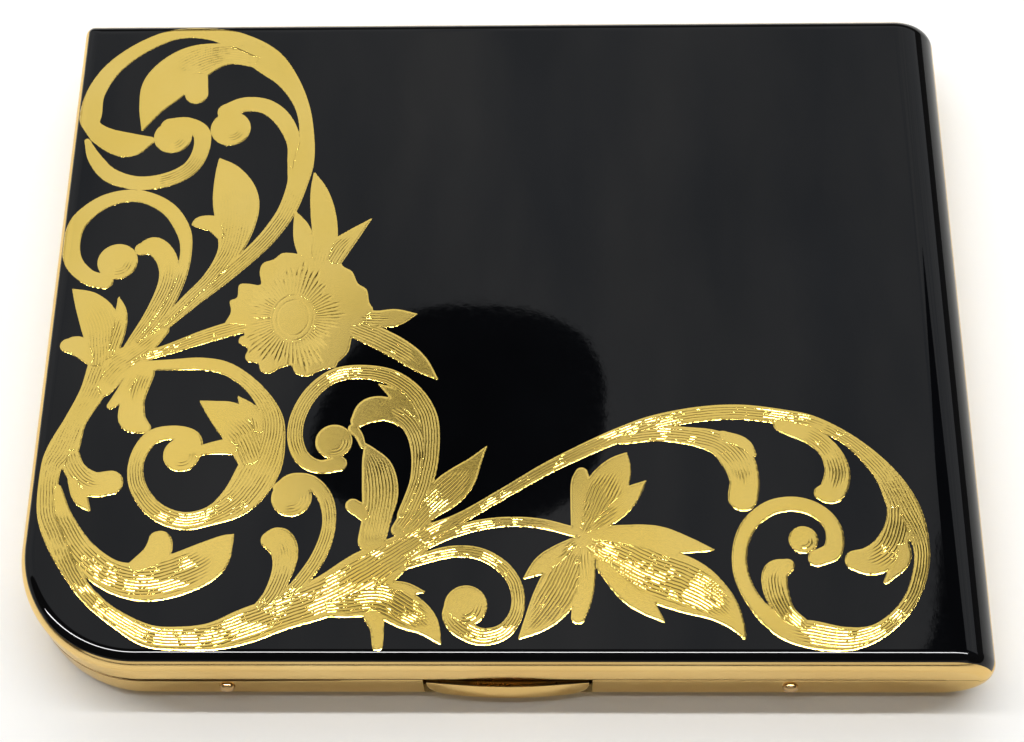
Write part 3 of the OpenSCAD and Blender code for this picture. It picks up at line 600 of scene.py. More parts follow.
# ---- scrollwork ------------------------------------------------------------------
# Each stroke is (engraved from, engraved to, [(x, y, half width), ...]); the two
# shares say along which part of its length the graver cut its lines.
STROKES = [
    # upper left: the large C scroll, its inner leaf and the ring below
    (0.02, 0.62, [(-34.5, -2.8, .3), (-30.5, 1.4, .5), (-27.5, 4.4, .7), (-24.3, 7.9, .85),
                  (-22.7, 10.2, .9), (-21.7, 12.2, .95), (-20.95, 15, 1.05), (-20.7, 17.5, 1.3),
                  (-20.3, 20.3, .8), (-20.9, 24, .75), (-22.6, 27.4, 1.1), (-25, 30, 1.6), (-28, 32.2, 1.2),
                  (-31, 33.3, .8), (-34.5, 33.3, .7), (-38, 31.6, .8), (-40.8, 29, .9), (-42.3, 26, 1.0),
                  (-42.6, 23.5, 1.2), (-42.3, 22, .9), (-40.8, 20.6, 1.2), (-38.4, 19.7, 1.45),
                  (-36.2, 20.2, .5)]),
    (0.45, 0.85, [(-42.6, 20.2, .3), (-41.6, 18.1, .7), (-39.8, 16.1, .85), (-37, 15.2, .8),
                  (-34, 15.6, .85), (-31.8, 17, .85), (-30.9, 19.2, .85), (-31.1, 21.2, .9),
                  (-32.6, 22.2, .8), (-34.2, 21.8, 1.1)]),
    (0.0, 0.6, [(-21.3, 15, .6), (-21.5, 17.5, .6), (-21.6, 20, .75), (-22.8, 22.6, .9), (-24.6, 24.2, .9),
                (-26.8, 24.5, .9), (-28.6, 23.6, 1.0)]),
    (0.05, 0.6, [(-25, 30, 1.2), (-29, 30.7, 1.3), (-32.5, 29.6, 2.2), (-35, 27.2, 2.4), (-36.3, 24.6, 1.4),
                 (-37.1, 21.4, .1)]),
    (0.9, 1.0, [(-32.2, 28, 1.3), (-31.9, 25.8, 1.2)]),
    # tall leaf
    (0.0, 0.85, [(-34.6, -2.6, .3), (-31.2, 1.6, .6), (-28.9, 4.4, .7), (-27.2, 7.4, 1.2),
                 (-26.8, 10.6, 2.0), (-27, 13.2, 2.3), (-27.8, 15.8, 1.5), (-29, 18.1, .05)]),
    (0.0, 0.4, [(-27.6, 8.6, .6), (-28.8, 10.3, .9), (-30.2, 10.6, .75), (-31, 10.4, .2)]),
    # left ring and the strand that curls inside it
    (0.0, 0.3, [(-36, -3.6, .2), (-33.4, .2, .6), (-31.9, 4, .6), (-31.5, 7.5, .6), (-32.1, 10, .75),
                (-33.9, 12.4, .75), (-36.9, 13.7, .72), (-40, 13.1, .8), (-42.3, 11, .9), (-43, 8.6, .95),
                (-42.5, 6.2, .9), (-40.9, 4.5, .85), (-39.2, 4, .85)]),
    (0.0, 0.75, [(-36.4, -3.2, .3), (-34.2, .6, .7), (-33, 4, .95), (-33.3, 6.4, 1.05), (-34.6, 7.9, 1.05),
                 (-35.9, 7.6, .7)]),
    # left leaf
    (0.0, 0.75, [(-38.4, -6, 1.4), (-38.7, -3, 1.6), (-39.2, -.6, 1.9), (-40.4, 1.4, 1.4),
                 (-42.3, 3.2, .05)]),
    (0.0, 0.7, [(-38.2, -4, 1.0), (-37.6, -1.4, 1.0), (-37.3, .6, .6), (-37.7, 2.4, .05)]),
    (0.0, 0.5, [(-39.6, -4.4, .8), (-41, -3.1, 1.05), (-42.1, -3, .75)]),
    # root where the upper strokes meet the left strand
    (0.0, 1.0, [(-38.4, -7, 1.5), (-37.4, -5.4, 1.6), (-35.9, -4.2, 1.3), (-34.4, -2.9, .95),
                (-33, -1.4, .6)]),
    # flower stalk
    (0.0, 1.0, [(-35, -4.4, .5), (-32, -3.3, .6), (-29, -2.1, .75), (-26, -1.1, .8), (-23, -.4, .8)]),
    # long scroll: down the left, along the front and round the right end
    (0.0, 0.84, [(-38.3, -5, 1.6), (-39.2, -8, 1.25), (-40.5, -11, 1.1), (-41.4, -14, 1.5),
                 (-42.3, -16, 1.0), (-42.1, -20, 1.05), (-40.8, -23, 1.2), (-38.9, -26.6, .8),
                 (-37, -28.8, .75), (-34.8, -30.5, .8), (-31.8, -32.1, 1.05), (-29, -32.4, 1.15),
                 (-26, -32.2, 1.35), (-23, -31.2, 1.7), (-20, -30, 1.7), (-16, -28.4, 2.0),
                 (-12.6, -26.4, 2.3), (-10, -24.6, 1.8), (-7, -22.6, 1.1), (-4, -20.9, .6), (0, -18.4, .55),
                 (4, -15.9, .62), (8, -13.8, .7), (11, -12.4, .75), (14, -11.3, .8), (18, -10.45, .8),
                 (22, -10.2, .8), (26, -10.7, .8), (29, -11.3, .65), (32.4, -13.4, .7), (35.2, -16.6, 1.05),
                 (36.7, -20, 1.45), (37.9, -23.4, .8), (37.5, -26.6, .7), (36, -29.5, .65),
                 (33.4, -31.7, .75), (30.6, -32.4, 1.15), (27.6, -32, 1.35), (25, -31.3, 1.0),
                 (22.8, -29.2, .75), (21.6, -26.6, .72), (21.5, -24, .7), (22.4, -21.6, .72),
                 (24.4, -19.9, .75), (26.8, -19.5, .75), (28.9, -20.3, .75), (30.1, -22, .8),
                 (29.9, -24, .9), (28.4, -24.8, .8)]),
    # leaf inside the left strand
    (0.1, 0.88, [(-41.6, -18, .6), (-40.6, -21, 1.0), (-38.5, -24.2, 1.3), (-35.6, -26.4, 1.5),
                 (-32.5, -27, 1.9), (-29.6, -26.3, 2.1), (-27, -25, 1.9), (-25.6, -23.4, .9),
                 (-24.7, -22.4, .05)]),
    (0.9, 1.0, [(-33.5, -26, 1.0), (-31.8, -24.6, 1.3), (-31.4, -23.3, 1.15), (-31.7, -22.9, .8)]),
    (0.1, 0.9, [(-41, -13.5, .9), (-40, -16, 1.0), (-38.3, -17.4, 1.25), (-36.6, -17.3, 1.25)]),
    (0.0, 0.5, [(-39.8, -17, .8), (-39.2, -18.8, .7), (-38.1, -20.2, .05)]),
    # lower left ring, its leaf and the lobes at its root
    (0.2, 0.86, [(-35, -5.2, .5), (-32, -5.1, .6), (-29, -5, .68), (-26.4, -5.6, .7), (-23.8, -7.6, .75),
                 (-22, -10.4, 1.0), (-21.9, -13, 1.4), (-22.8, -16, 2.0), (-24.4, -18.8, 1.7),
                 (-26.8, -20.5, 1.0), (-29.5, -21.1, .9), (-32.2, -20, .85), (-34, -17.6, .8),
                 (-34.3, -15, .75), (-33.2, -12.8, .8), (-31.2, -12.2, .75), (-29.4, -12.8, .9),
                 (-28.8, -14.2, .7)]),
    (0.0, 0.6, [(-23.2, -15, 1.6), (-24.4, -12.4, 1.9), (-25.8, -10.8, 1.7), (-27.4, -9.8, .9),
                (-28.9, -8.9, .05)]),
    (0.9, 1.0, [(-25, -13.6, .9), (-26.6, -13.7, .75), (-28.3, -14, .55)]),
    (0.0, 0.4, [(-23.4, -12, 1.0), (-24, -10.2, .9), (-25.3, -8.4, .05)]),
    (0.0, 0.5, [(-35.2, -6.4, 1.0), (-36.3, -8.2, .75), (-37.3, -9.4, .4)]),
    (0.0, 0.5, [(-34.6, -6, 1.2), (-35.2, -8.6, 1.15), (-35.2, -10.6, 1.3), (-34.6, -11.3, 1.0),
                (-33.8, -11.7, .55)]),
    # leaves round the flower
    (0.0, 0.8, [(-18.2, 6, 1.4), (-17.9, 9, 1.3), (-18.2, 11.6, 1.25), (-18.7, 14, .9), (-19.3, 16.3, .1)]),
    (0.0, 0.7, [(-19.4, 6.4, .8), (-19.9, 8.4, 1.0), (-20.3, 10, .8), (-20.95, 11.8, .1)]),
    (0.0, 0.6, [(-17.4, 5.6, 1.0), (-16.4, 7.6, 1.1), (-15.2, 9, .75), (-13.3, 11, .05)]),
    (0.0, 0.6, [(-14.6, 0, .9), (-12.4, -.2, .9), (-10.6, -.1, .95), (-8.5, .3, .05)]),
    (0.0, 0.75, [(-15, -1, 1.0), (-12.4, -2.2, 1.15), (-10, -3.6, 1.15), (-8.2, -5, .9),
                 (-6.3, -6.8, .05)]),
    # middle ring
    (0.0, 0.9, [(-9.6, -22, .7), (-8.2, -19.6, .9), (-7.3, -16.5, 1.0), (-7, -13.4, 1.0),
                (-7.3, -10.6, 1.0), (-8.6, -8.2, .9), (-10.8, -6.5, .85), (-13.6, -5.9, .75),
                (-16.2, -6.3, .75), (-18.2, -8, .75), (-19.4, -10.4, .75), (-19.6, -12.8, .75),
                (-18.8, -14.8, .75), (-17.2, -15.7, .7), (-15.4, -15.4, .8)]),
    (0.9, 1.0, [(-8.6, -10.4, .5), (-10, -8.6, .7), (-12.1, -7.1, .05)]),
    (0.0, 0.8, [(-9.2, -20.6, .6), (-8, -17, .7), (-7.9, -13.6, .9), (-8.9, -11.2, .95), (-10.8, -9.9, 1.2),
                (-12.6, -9.9, 1.3), (-13.8, -11, .7)]),
    (0.9, 1.0, [(-14.2, -11.8, .5), (-13.6, -12.6, .4), (-13.2, -13.6, .3)]),
    (0.0, 0.9, [(-12, -23, 1.3), (-11.6, -20.6, 1.4), (-11.4, -18.4, 1.7), (-11.7, -16.2, 1.5),
                (-12.4, -14.6, .8), (-13, -13.3, .05)]),
    (0.9, 1.0, [(-12.4, -20.6, .8), (-13.9, -19.6, .7)]),
    (0.0, 0.75, [(-8.6, -22, .8), (-6.8, -19.8, 1.2), (-5.2, -18.2, 1.6), (-4, -17, 1.4), (-2.8, -15.4, .7),
                 (-1.6, -13.6, .05)]),
    # strokes that rise from the root at the front
    (0.0, 0.7, [(-20.6, -29.4, .5), (-18.6, -27.4, .65), (-16.8, -24.6, .7), (-16, -21.6, .65),
                (-16.4, -19, .7), (-17.8, -17.3, .7), (-19.6, -17.1, .75), (-20.9, -17.8, .5)]),
    (0.1, 0.9, [(-22.6, -30.4, .6), (-20.9, -28.4, .8), (-20, -26, 1.0), (-19.9, -24.2, 1.25),
                (-20.5, -23.1, 1.35), (-21.3, -23, .9)]),
    (0.0, 0.9, [(-9, -24.4, .6), (-5.5, -22.6, .55), (-2.5, -21.6, .55), (.5, -21.2, .5), (3.5, -21.4, .5),
                (6.5, -22.2, .5)]),
    (0.0, 1.0, [(-10.6, -26, .5), (-7.6, -24.9, .55), (-4.8, -24.15, .6), (-2.2, -24.3, .6),
                (0, -25.6, .62), (1.25, -27.6, .62), (1.3, -29.9, .65), (.1, -31.7, .75),
                (-1.9, -32.2, .85), (-3.8, -31.3, .9), (-4.7, -30.3, .7), (-4.95, -29.2, .3)]),
    (0.1, 0.88, [(-19, -30.4, 1.0), (-16.5, -29.2, 1.3), (-14, -28.8, 1.65), (-11, -28.6, 1.8),
                 (-8.6, -29.8, 1.7), (-6.8, -31, 1.1), (-5.4, -33, .05)]),
    (0.0, 0.4, [(-11, -27.9, .9), (-9, -27.7, .7), (-7, -28, .1)]),
    (0.0, 0.3, [(-11.6, -30, 1.0), (-11.2, -31.5, .65), (-11.1, -33.1, .5)]),
    # five lobed leaf
    (0.0, 0.75, [(7.4, -22.2, .7), (8.4, -20.2, 1.5), (9.4, -18, 1.9), (10.4, -16.2, 1.4),
                 (11.4, -14.3, .05)]),
    (0.0, 0.5, [(8, -21.6, .8), (9.8, -20.2, 1.2), (11.4, -18.8, 1.0), (13.1, -17.2, .1)]),
    (0.9, 1.0, [(6.8, -22, .6), (7, -19.4, .85), (7.1, -17.4, .9), (7.2, -16.4, .6)]),
    (0.9, 1.0, [(8, -22.6, .8), (11, -22.8, 1.3), (14, -23, 1.4), (16.8, -23.5, .8), (19.2, -24, .1)]),
    (0.0, 0.85, [(7.8, -23.2, .8), (10.6, -24.6, 1.9), (13.6, -26.2, 2.6), (16.6, -27.4, 2.6),
                 (19.2, -29, 1.7), (20.8, -30.8, .8), (21.7, -32.6, .05)]),
    (0.9, 1.0, [(9.4, -25.4, 1.0), (11.4, -27.8, 1.2), (13, -29.4, .8), (14.5, -30.8, .1)]),
    (0.0, 0.5, [(7.2, -23.6, .9), (7.3, -26, 1.1), (7.2, -28.4, .95), (6.8, -30.4, .65)]),
    (0.0, 0.4, [(6.8, -23.4, .8), (5.2, -24.6, 1.2), (3.6, -25.4, .9), (1.9, -26.7, .1)]),
    (0.0, 0.9, [(6.6, -24.2, 1.2), (5.6, -26.6, 1.9), (4.6, -28.6, 1.9), (3.2, -30.6, 1.2),
                (1.5, -32.4, .1)]),
    # leaves inside the right end
    (0.0, 0.95, [(11, -12.8, .7), (14, -12.4, .8), (17, -12.6, .9), (19.8, -13.3, 1.2), (21.6, -15, 1.5),
                 (22.2, -17, 1.4), (22, -18.8, 1.4)]),
    (0.9, 1.0, [(20.4, -13, .9), (22.2, -13.6, .8), (23.5, -14.8, .05)]),
    (0.2, 0.9, [(26, -11.4, .9), (28.8, -12.8, .9), (30.3, -14.4, 1.0), (30.8, -16.4, 1.2),
                (30.2, -18.2, 1.2), (29.2, -18.4, .7)]),
    (0.0, 0.9, [(36.3, -19, 1.1), (36, -21.6, 1.2), (35, -23.9, 1.5), (33.4, -25, 1.4), (31.9, -25, 1.0)]),
    (0.9, 1.0, [(35.6, -22.6, 1.0), (36, -24.8, .9), (34.5, -27, .25)]),
    (0.0, 0.9, [(27, -31.6, .9), (25.4, -30, .9), (24.6, -28, 1.15), (24.6, -26.2, 1.15),
                (25.7, -25.5, .7)]),
]
# Balls that end the scrolls: x, y, radius
BALLS = [(-33.9, 20.65, 1.95), (-28.1, 21.6, 2.05), (-38.15, 6.2, 2.0), (-30.15, -14.45, 1.75),
         (-15.95, -13.15, 1.75), (-19.6, -18.8, 1.9), (-3.3, -29.3, 1.95), (27.3, -23, 1.35)]
FLOWER = [(-27.1, -.6), (-26.6, .6), (-26.8, 1.8), (-26.1, 2.2), (-26, 3.6), (-25, 3.7), (-23.9, 3.6),
          (-24.1, 5), (-23.8, 6), (-22.8, 6.4), (-22, 7.1), (-20.9, 7.1), (-20.2, 7), (-17, 7),
          (-15.9, 5.6), (-15, 5), (-14.4, 3.7), (-13.5, 3), (-13.2, 1.6), (-12.8, .8), (-13.2, -.6),
          (-14.6, -2), (-15, -3.8), (-16, -5), (-16.1, -5.4), (-17.4, -5.7), (-18.8, -6.4), (-20, -6),
          (-20.4, -5.2), (-21.4, -5.5), (-22.4, -6.1), (-23.3, -5.8), (-23.6, -5), (-24.6, -4.8),
          (-24.9, -4.2), (-24.7, -3.4), (-25.6, -2.8), (-25.5, -2.1), (-25.1, -1.8)]
FLOWER_AT = (-20.5, -0.1)
LINE_GAP = 0.27
CELL = 0.1


def curve(points, step=0.25):
    """Smooth samples (x, y, half width, share) through a stroke's points."""
    p = np.array(points, float)
    p = np.vstack([2 * p[0] - p[1], p, 2 * p[-1] - p[-2]])
    out = []
    for k in range(1, len(p) - 2):
        n = max(2, int(math.ceil(np.hypot(*(p[k + 1, :2] - p[k, :2])) / step)))
        for t in np.arange(n) / n:
            a, b, c, d = p[k - 1], p[k], p[k + 1], p[k + 2]
            out.append(0.5 * (2 * b + (c - a) * t + (2 * a - 5 * b + 4 * c - d) * t * t
                              + (3 * b - a - 3 * c + d) * t ** 3))
    out = np.array(out + [p[-2]])
    out[:, 2] = np.maximum(out[:, 2], 0.03)
    run = np.concatenate([[0], np.cumsum(np.hypot(*np.diff(out[:, :2], axis=0).T))])
    return out, run


class Field:
    """Distance to the ornament's outline on a grid, with the engraving's own coordinates."""

    def __init__(self, x0, x1, y0, y1, cell):
        self.x = np.arange(x0, x1 + cell, cell)
        self.y = np.arange(y0, y1 + cell, cell)
        self.cell = cell
        shape = (len(self.y), len(self.x))
        self.sd = np.full(shape, 9.0)
        self.phase = np.zeros(shape)
        self.mask = np.zeros(shape)

    def window(self, x0, x1, y0, y1):
        i0, i1 = np.searchsorted(self.x, [x0, x1])
        j0, j1 = np.searchsorted(self.y, [y0, y1])
        return slice(j0, j1 + 1), slice(i0, i1 + 1)

    def put(self, win, sd, phase, mask):
        better = sd < self.sd[win]
        for name, value in (("sd", sd), ("phase", phase), ("mask", mask)):
            part = getattr(self, name)[win]
            part[better] = value[better]

    def stroke(self, start, stop, points):
        c, run = curve(points)
        for k in range(len(c) - 1):
            (ax, ay, aw), (bx, by, bw) = c[k], c[k + 1]
            reach = max(aw, bw) + 0.35
            win = self.window(min(ax, bx) - reach, max(ax, bx) + reach,
                              min(ay, by) - reach, max(ay, by) + reach)
            qx, qy = self.x[win[1]][None, :] - ax, self.y[win[0]][:, None] - ay
            dx, dy = bx - ax, by - ay
            t = np.clip((qx * dx + qy * dy) / (dx * dx + dy * dy), 0, 1)
            dist = np.hypot(qx - t * dx, qy - t * dy)
            side = np.sign(dx * qy - dy * qx)
            half = aw + (bw - aw) * t
            share = (run[k] + t * (run[k + 1] - run[k])) / run[-1]
            u = side * dist / half
            mask = np.clip((0.8 - abs(u)) / 0.12, 0, 1)
            mask = mask * np.clip((stop - share) * run[-1] / 1.5 - 1.2 * abs(u), 0, 1)
            mask = mask * np.clip((share - start) * run[-1] / 0.8, 0, 1)
            self.put(win, dist - half, u * half ** 0.8 / LINE_GAP, mask)

    def ball(self, x, y, r):
        win = self.window(x - r - 0.4, x + r + 0.4, y - r - 0.4, y + r + 0.4)
        qx, qy = self.x[win[1]][None, :] - x, self.y[win[0]][:, None] - y
        dist, angle = np.hypot(qx, qy), np.arctan2(qy, qx)
        turn = np.cos(angle + 0.9)
        mask = 0.8 * np.clip((turn - 0.45) / 0.3, 0, 1) * np.clip((dist / r - 0.35) / 0.1, 0, 1)
        mask = mask * np.clip((0.84 - dist / r) / 0.08, 0, 1)
        self.put(win, dist - r, dist / 0.3 + 0.1 * angle, mask)

    def flower(self, outline, centre):
        p = np.array(outline)
        win = self.window(p[:, 0].min() - 0.4, p[:, 0].max() + 0.4, p[:, 1].min() - 0.4, p[:, 1].max() + 0.4)
        x, y = np.meshgrid(self.x[win[1]], self.y[win[0]])
        c, _ = curve([(a, b, 1) for a, b in outline + outline[:1]], 0.4)
        c = c[:, :2]
        best = np.full(x.shape, 9.0)
        inside = np.zeros(x.shape, bool)
        for a, b in zip(c, np.roll(c, -1, axis=0)):
            d = b - a
            t = np.clip(((x - a[0]) * d[0] + (y - a[1]) * d[1]) / max(d @ d, 1e-9), 0, 1)
            best = np.minimum(best, np.hypot(x - a[0] - t * d[0], y - a[1] - t * d[1]))
            crosses = (a[1] > y) != (b[1] > y)
            with np.errstate(divide="ignore", invalid="ignore"):
                inside ^= crosses & (x < a[0] + (y - a[1]) * d[0] / d[1])
        qx, qy = x - centre[0], y - centre[1]
        r, angle = np.hypot(qx, qy * 0.8), np.arctan2(qy, qx)
        rays = angle * 64 / (2 * math.pi)
        reach = 4.3 + 0.5 * np.sin(5 * angle + 1) + 0.35 * np.sin(23 * angle)
        mask = np.clip((reach - r) / 0.5, 0, 1) * np.clip((r - 2.15) / 0.1, 0, 1)
        ring = np.clip(1 - abs(abs(r - 1.75) - 0.22) / 0.12, 0, 1)
        phase = np.where(r < 2.1, 0.0, rays)
        self.put(win, np.where(inside, -best, best), phase, np.where(r < 2.1, ring, mask))


field = Field(-HX, 39.4, -HY, 35, CELL)
for start, stop, points in STROKES:
    field.stroke(start, stop, points)
for ball in BALLS:
    field.ball(*ball)
field.flower(FLOWER, FLOWER_AT)


def inset_of(x, y):
    """How far a place on the lid lies in from the case's outline, left of the spine."""
    d = np.minimum(np.minimum(x + HX, y + HY), HY - y)
    near = (x < CX) & (y < CY)
    d = np.where(near, CORNER_R - np.hypot(x - CX, y - CY), d)
    far = (x < BX) & (y > BY)
    return np.where(far, BACK_R - np.hypot(x - BX, y - BY), d)


def top_height(x, y):
    """Height of the lid's enamel over a place left of the spine."""
    d = np.clip(inset_of(x, y), 0, EDGE_R)
    return T - EDGE_R + np.sqrt(EDGE_R ** 2 - (EDGE_R - d) ** 2)


def scrollwork(field, cuts, material):
    x, y = np.meshgrid(field.x, field.y)
    sd = np.maximum(field.sd, 0.62 - inset_of(x, y))
    gy, gx = np.gradient(sd, field.cell)
    near = np.abs(sd) < 0.75 * field.cell
    norm = np.maximum(np.hypot(gx, gy), 0.5) ** 2
    vx = np.where(near, x - sd * gx / norm, x)
    vy = np.where(near, y - sd * gy / norm, y)
    depth = np.clip(-np.where(near, 0, sd), 0, None)
    lift = np.clip(depth / 0.07, 0, 1)
    groove = (0.5 + 0.5 * np.cos(2 * math.pi * field.phase)) ** 1.5
    fade = np.clip((depth - 0.12) / 0.1, 0, 1) * field.mask
    z = top_height(vx, vy) - 0.004 + 0.032 * lift - 0.0015 * groove * fade
    keep = sd < 0.5 * field.cell
    cell_in = keep[:-1, :-1] & keep[1:, :-1] & keep[:-1, 1:] & keep[1:, 1:]
    ids = np.arange(x.size).reshape(x.shape)
    quads = np.stack([ids[:-1, :-1], ids[:-1, 1:], ids[1:, 1:], ids[1:, :-1]], -1)[cell_in]
    column = np.broadcast_to(field.x[None, :-1], cell_in.shape)[cell_in]
    # outer edges: those that belong to one cell only
    edges = np.concatenate([quads[:, [k, (k + 1) % 4]] for k in range(4)])
    owner = np.tile(np.arange(len(quads)), 4)
    key = np.sort(edges, axis=1)
    _, first, count = np.unique(key, axis=0, return_index=True, return_counts=True)
    rim = first[count == 1]
    for n, (a, b) in enumerate(zip(cuts[:-1], cuts[1:])):
        part = (column >= a) & (column < b)
        q = quads[part]
        used, flat = np.unique(q, return_inverse=True)
        q = flat.reshape(q.shape)
        verts = np.stack([vx.ravel()[used], vy.ravel()[used], z.ravel()[used]], 1)
        mine = rim[part[owner[rim]]]
        loop = np.searchsorted(used, edges[mine])
        skirt_of, back = np.unique(loop, return_inverse=True)
        back = back.reshape(loop.shape) + len(verts)
        skirt = verts[skirt_of] - [0, 0, 0.05]
        faces = q.tolist() + np.stack([loop[:, 1], loop[:, 0], back[:, 0], back[:, 1]], 1).tolist()
        obj = new_object("scrollwork_%d" % (n + 1), np.vstack([verts, skirt]).tolist(), faces, material)
        for name, grid in (("phase", field.phase), ("cut", fade)):
            attr = obj.data.attributes.new(name, "FLOAT", "POINT")
            attr.data.foreach_set("value", np.concatenate([grid.ravel()[used], grid.ravel()[used][skirt_of]]))
        sharpen(obj, 50)
        place(obj, "lid", "scrollwork", "lid_scrollwork")


def leaf_gold():
    """Gilt of the scrollwork: satin lands, and bright lines cut along each stroke."""
    n = Nodes("scrollwork_gilt").set(Metallic=1.0)
    cloud = n.noise(0.12, 4)
    tint = n.ramp(cloud, "Fac", [(0.3, (0.80, 0.565, 0.125)), (0.72, (0.83, 0.60, 0.16))])
    n.link(tint, "Color", n.bsdf, "Base Color")
    grain = n.noise(6, 4, rough=0.7)
    low = n.bump(grain, "Fac", 0.12, 0.00002)
    phase = n.add("ShaderNodeAttribute", attribute_name="phase").outputs["Fac"]
    cut = n.add("ShaderNodeAttribute", attribute_name="cut").outputs["Fac"]
    wobble = n.noise(0.7, 2)
    shift = n.math("MULTIPLY", wobble.outputs["Fac"], value=0.5)
    turn = n.math("MULTIPLY", n.math("ADD", phase, shift), value=2 * math.pi)
    wave = n.math("MULTIPLY_ADD", n.math("COSINE", turn), value=0.5)
    wave.node.inputs[2].default_value = 0.5
    sharp = n.math("POWER", wave, value=2.2)
    # the graver digs in and lifts along each line
    press = n.ramp(n.noise(0.5, 4, rough=0.65), "Fac",
                   [(0.32, (0.3,) * 3), (0.5, (0.8,) * 3), (0.66, (1.4,) * 3)])
    depth = n.math("MULTIPLY", n.math("MULTIPLY", sharp, cut), press.outputs["Color"])
    bump = n.add("ShaderNodeBump", Strength=0.8, Distance=0.00002, invert=True)
    n.tree.links.new(depth, bump.inputs["Height"])
    n.link(low, "Normal", bump, "Normal")
    n.link(bump, "Normal", n.bsdf, "Normal")
    satin = n.ramp(grain, "Fac", [(0.3, (0.14,) * 3), (0.8, (0.26,) * 3)])
    bright = n.add("ShaderNodeMix", data_type="FLOAT")
    n.tree.links.new(cut, bright.inputs[0])
    n.tree.links.new(satin.outputs["Color"], bright.inputs[2])
    bright.inputs[3].default_value = 0.09
    n.tree.links.new(bright.outputs[0], n.bsdf.inputs["Roughness"])
    return n.material


M_SCROLL = leaf_gold()
scrollwork(field, [-99, -27.0, -8.0, 99], M_SCROLL)

# ---- inside the case -------------------------------------------------------------------
WELL_X, WELL_Y = -4.0, -2.5
MIRROR_INSET, MIRROR_RIGHT = 3.2, 36.0
INNER_BACK_R = 1.8                # the far left corner's radius that the mirror's outline is drawn in from
ROUND_N = 120                     # points round the powder and the gauze
NET_R = 22.6                      # the gauze reaches the bottom of the sifter's groove


def brushed(name, colour, direction, rough=0.24):
    """Metal with a drawn finish: straight along x, or turned in rings round the powder well."""
    n = Nodes(name).set(Metallic=1.0)
    cloud = n.noise(0.12, 3)
    tint = n.ramp(cloud, "Fac", [(0.3, colour), (0.75, tuple(0.9 * c for c in colour))])
    n.link(tint, "Color", n.bsdf, "Base Color")
    if direction == "rings":
        place_in = n.add("ShaderNodeTexCoord")
        offset = n.add("ShaderNodeVectorMath", operation="SUBTRACT")
        offset.inputs[1].default_value = (WELL_X * MM, WELL_Y * MM, 0)
        n.link(place_in, "Object", offset, 0)
        flat = n.add("ShaderNodeVectorMath", operation="MULTIPLY")
        flat.inputs[1].default_value = (1, 1, 0)
        n.link(offset, "Vector", flat, 0)
        far = n.add("ShaderNodeVectorMath", operation="LENGTH")
        n.link(flat, "Vector", far, 0)
        lines = n.add("ShaderNodeTexNoise", noise_dimensions="1D", Scale=9000, Detail=4, Roughness=0.6)
        n.link(far, "Value", lines, "W")
    else:
        lines = n.noise(6, 5, (0.02, 1, 1), 0.65)
    rough_map = n.ramp(lines, "Fac", [(0.3, (rough * 0.7,) * 3), (0.72, (rough * 1.5,) * 3)])
    n.link(rough_map, "Color", n.bsdf, "Roughness")
    n.bump(lines, "Fac", 0.16, 0.00002)
    return n.material


def silvering():
    """Mirror glass: clean in the middle, with a few faint age spots."""
    n = Nodes("mirror_silver").set(Metallic=1.0)
    spots = n.noise(0.5, 6, rough=0.75)
    tint = n.ramp(spots, "Fac", [(0.68, (0.88, 0.90, 0.90)), (0.8, (0.55, 0.54, 0.50))])
    n.link(tint, "Color", n.bsdf, "Base Color")
    rough_map = n.ramp(spots, "Fac", [(0.6, (0.012,) * 3), (0.82, (0.12,) * 3)])
    n.link(rough_map, "Color", n.bsdf, "Roughness")
    n.bump(n.noise(0.05, 2), "Fac", 0.02, 0.00005)
    return n.material


def cloth(name, colour, deep, rough, sheen, weave):
    """Soft material: mottled colour, nap or weave as a fine bump, and a velvet edge."""
    n = Nodes(name).set(Roughness=rough, Sheen_Weight=sheen, Sheen_Roughness=0.45)
    mottle = n.noise(0.35, 5, rough=0.6)
    tint = n.ramp(mottle, "Fac", [(0.3, colour), (0.75, deep)])
    n.link(tint, "Color", n.bsdf, "Base Color")
    if weave == "satin":
        nap = n.noise(9, 3, (0.08, 1, 1))
    elif weave == "gauze":
        nap = n.add("ShaderNodeTexVoronoi", Scale=2.2)
        n.link(n.coords(), "Vector", nap, "Vector")
    else:
        nap = n.noise(3.5, 6, rough=0.75)
    out = "Distance" if weave == "gauze" else "Fac"
    n.bump(nap, out, 0.6 if weave != "satin" else 0.3, 0.00012 if weave == "nap" else 0.00004)
    return n.material


M_DECK = brushed("deck_brass", (0.80, 0.57, 0.25), "straight")
M_TURNED = brushed("turned_gilt", (0.84, 0.62, 0.27), "rings", 0.18)
M_BRASS = plain_metal("hinge_brass", (0.72, 0.50, 0.22), 0.26)
M_STEEL = plain_metal("spring_steel", (0.56, 0.55, 0.53), 0.24)
M_MIRROR = silvering()
M_POWDER = cloth("face_powder", (0.80, 0.55, 0.42), (0.72, 0.47, 0.35), 0.95, 0.15, "nap")
M_GAUZE = cloth("sifter_silk", (0.80, 0.72, 0.60), (0.66, 0.54, 0.44), 0.8, 0.2, "gauze")
M_PUFF = cloth("puff_velour", (0.86, 0.66, 0.58), (0.78, 0.56, 0.48), 0.9, 0.6, "nap")
M_CARD = cloth("backing_card", (0.45, 0.38, 0.28), (0.36, 0.30, 0.22), 0.85, 0.0, "nap")
M_RIBBON = cloth("ribbon_satin", (0.70, 0.36, 0.34), (0.62, 0.30, 0.29), 0.32, 0.3, "satin")


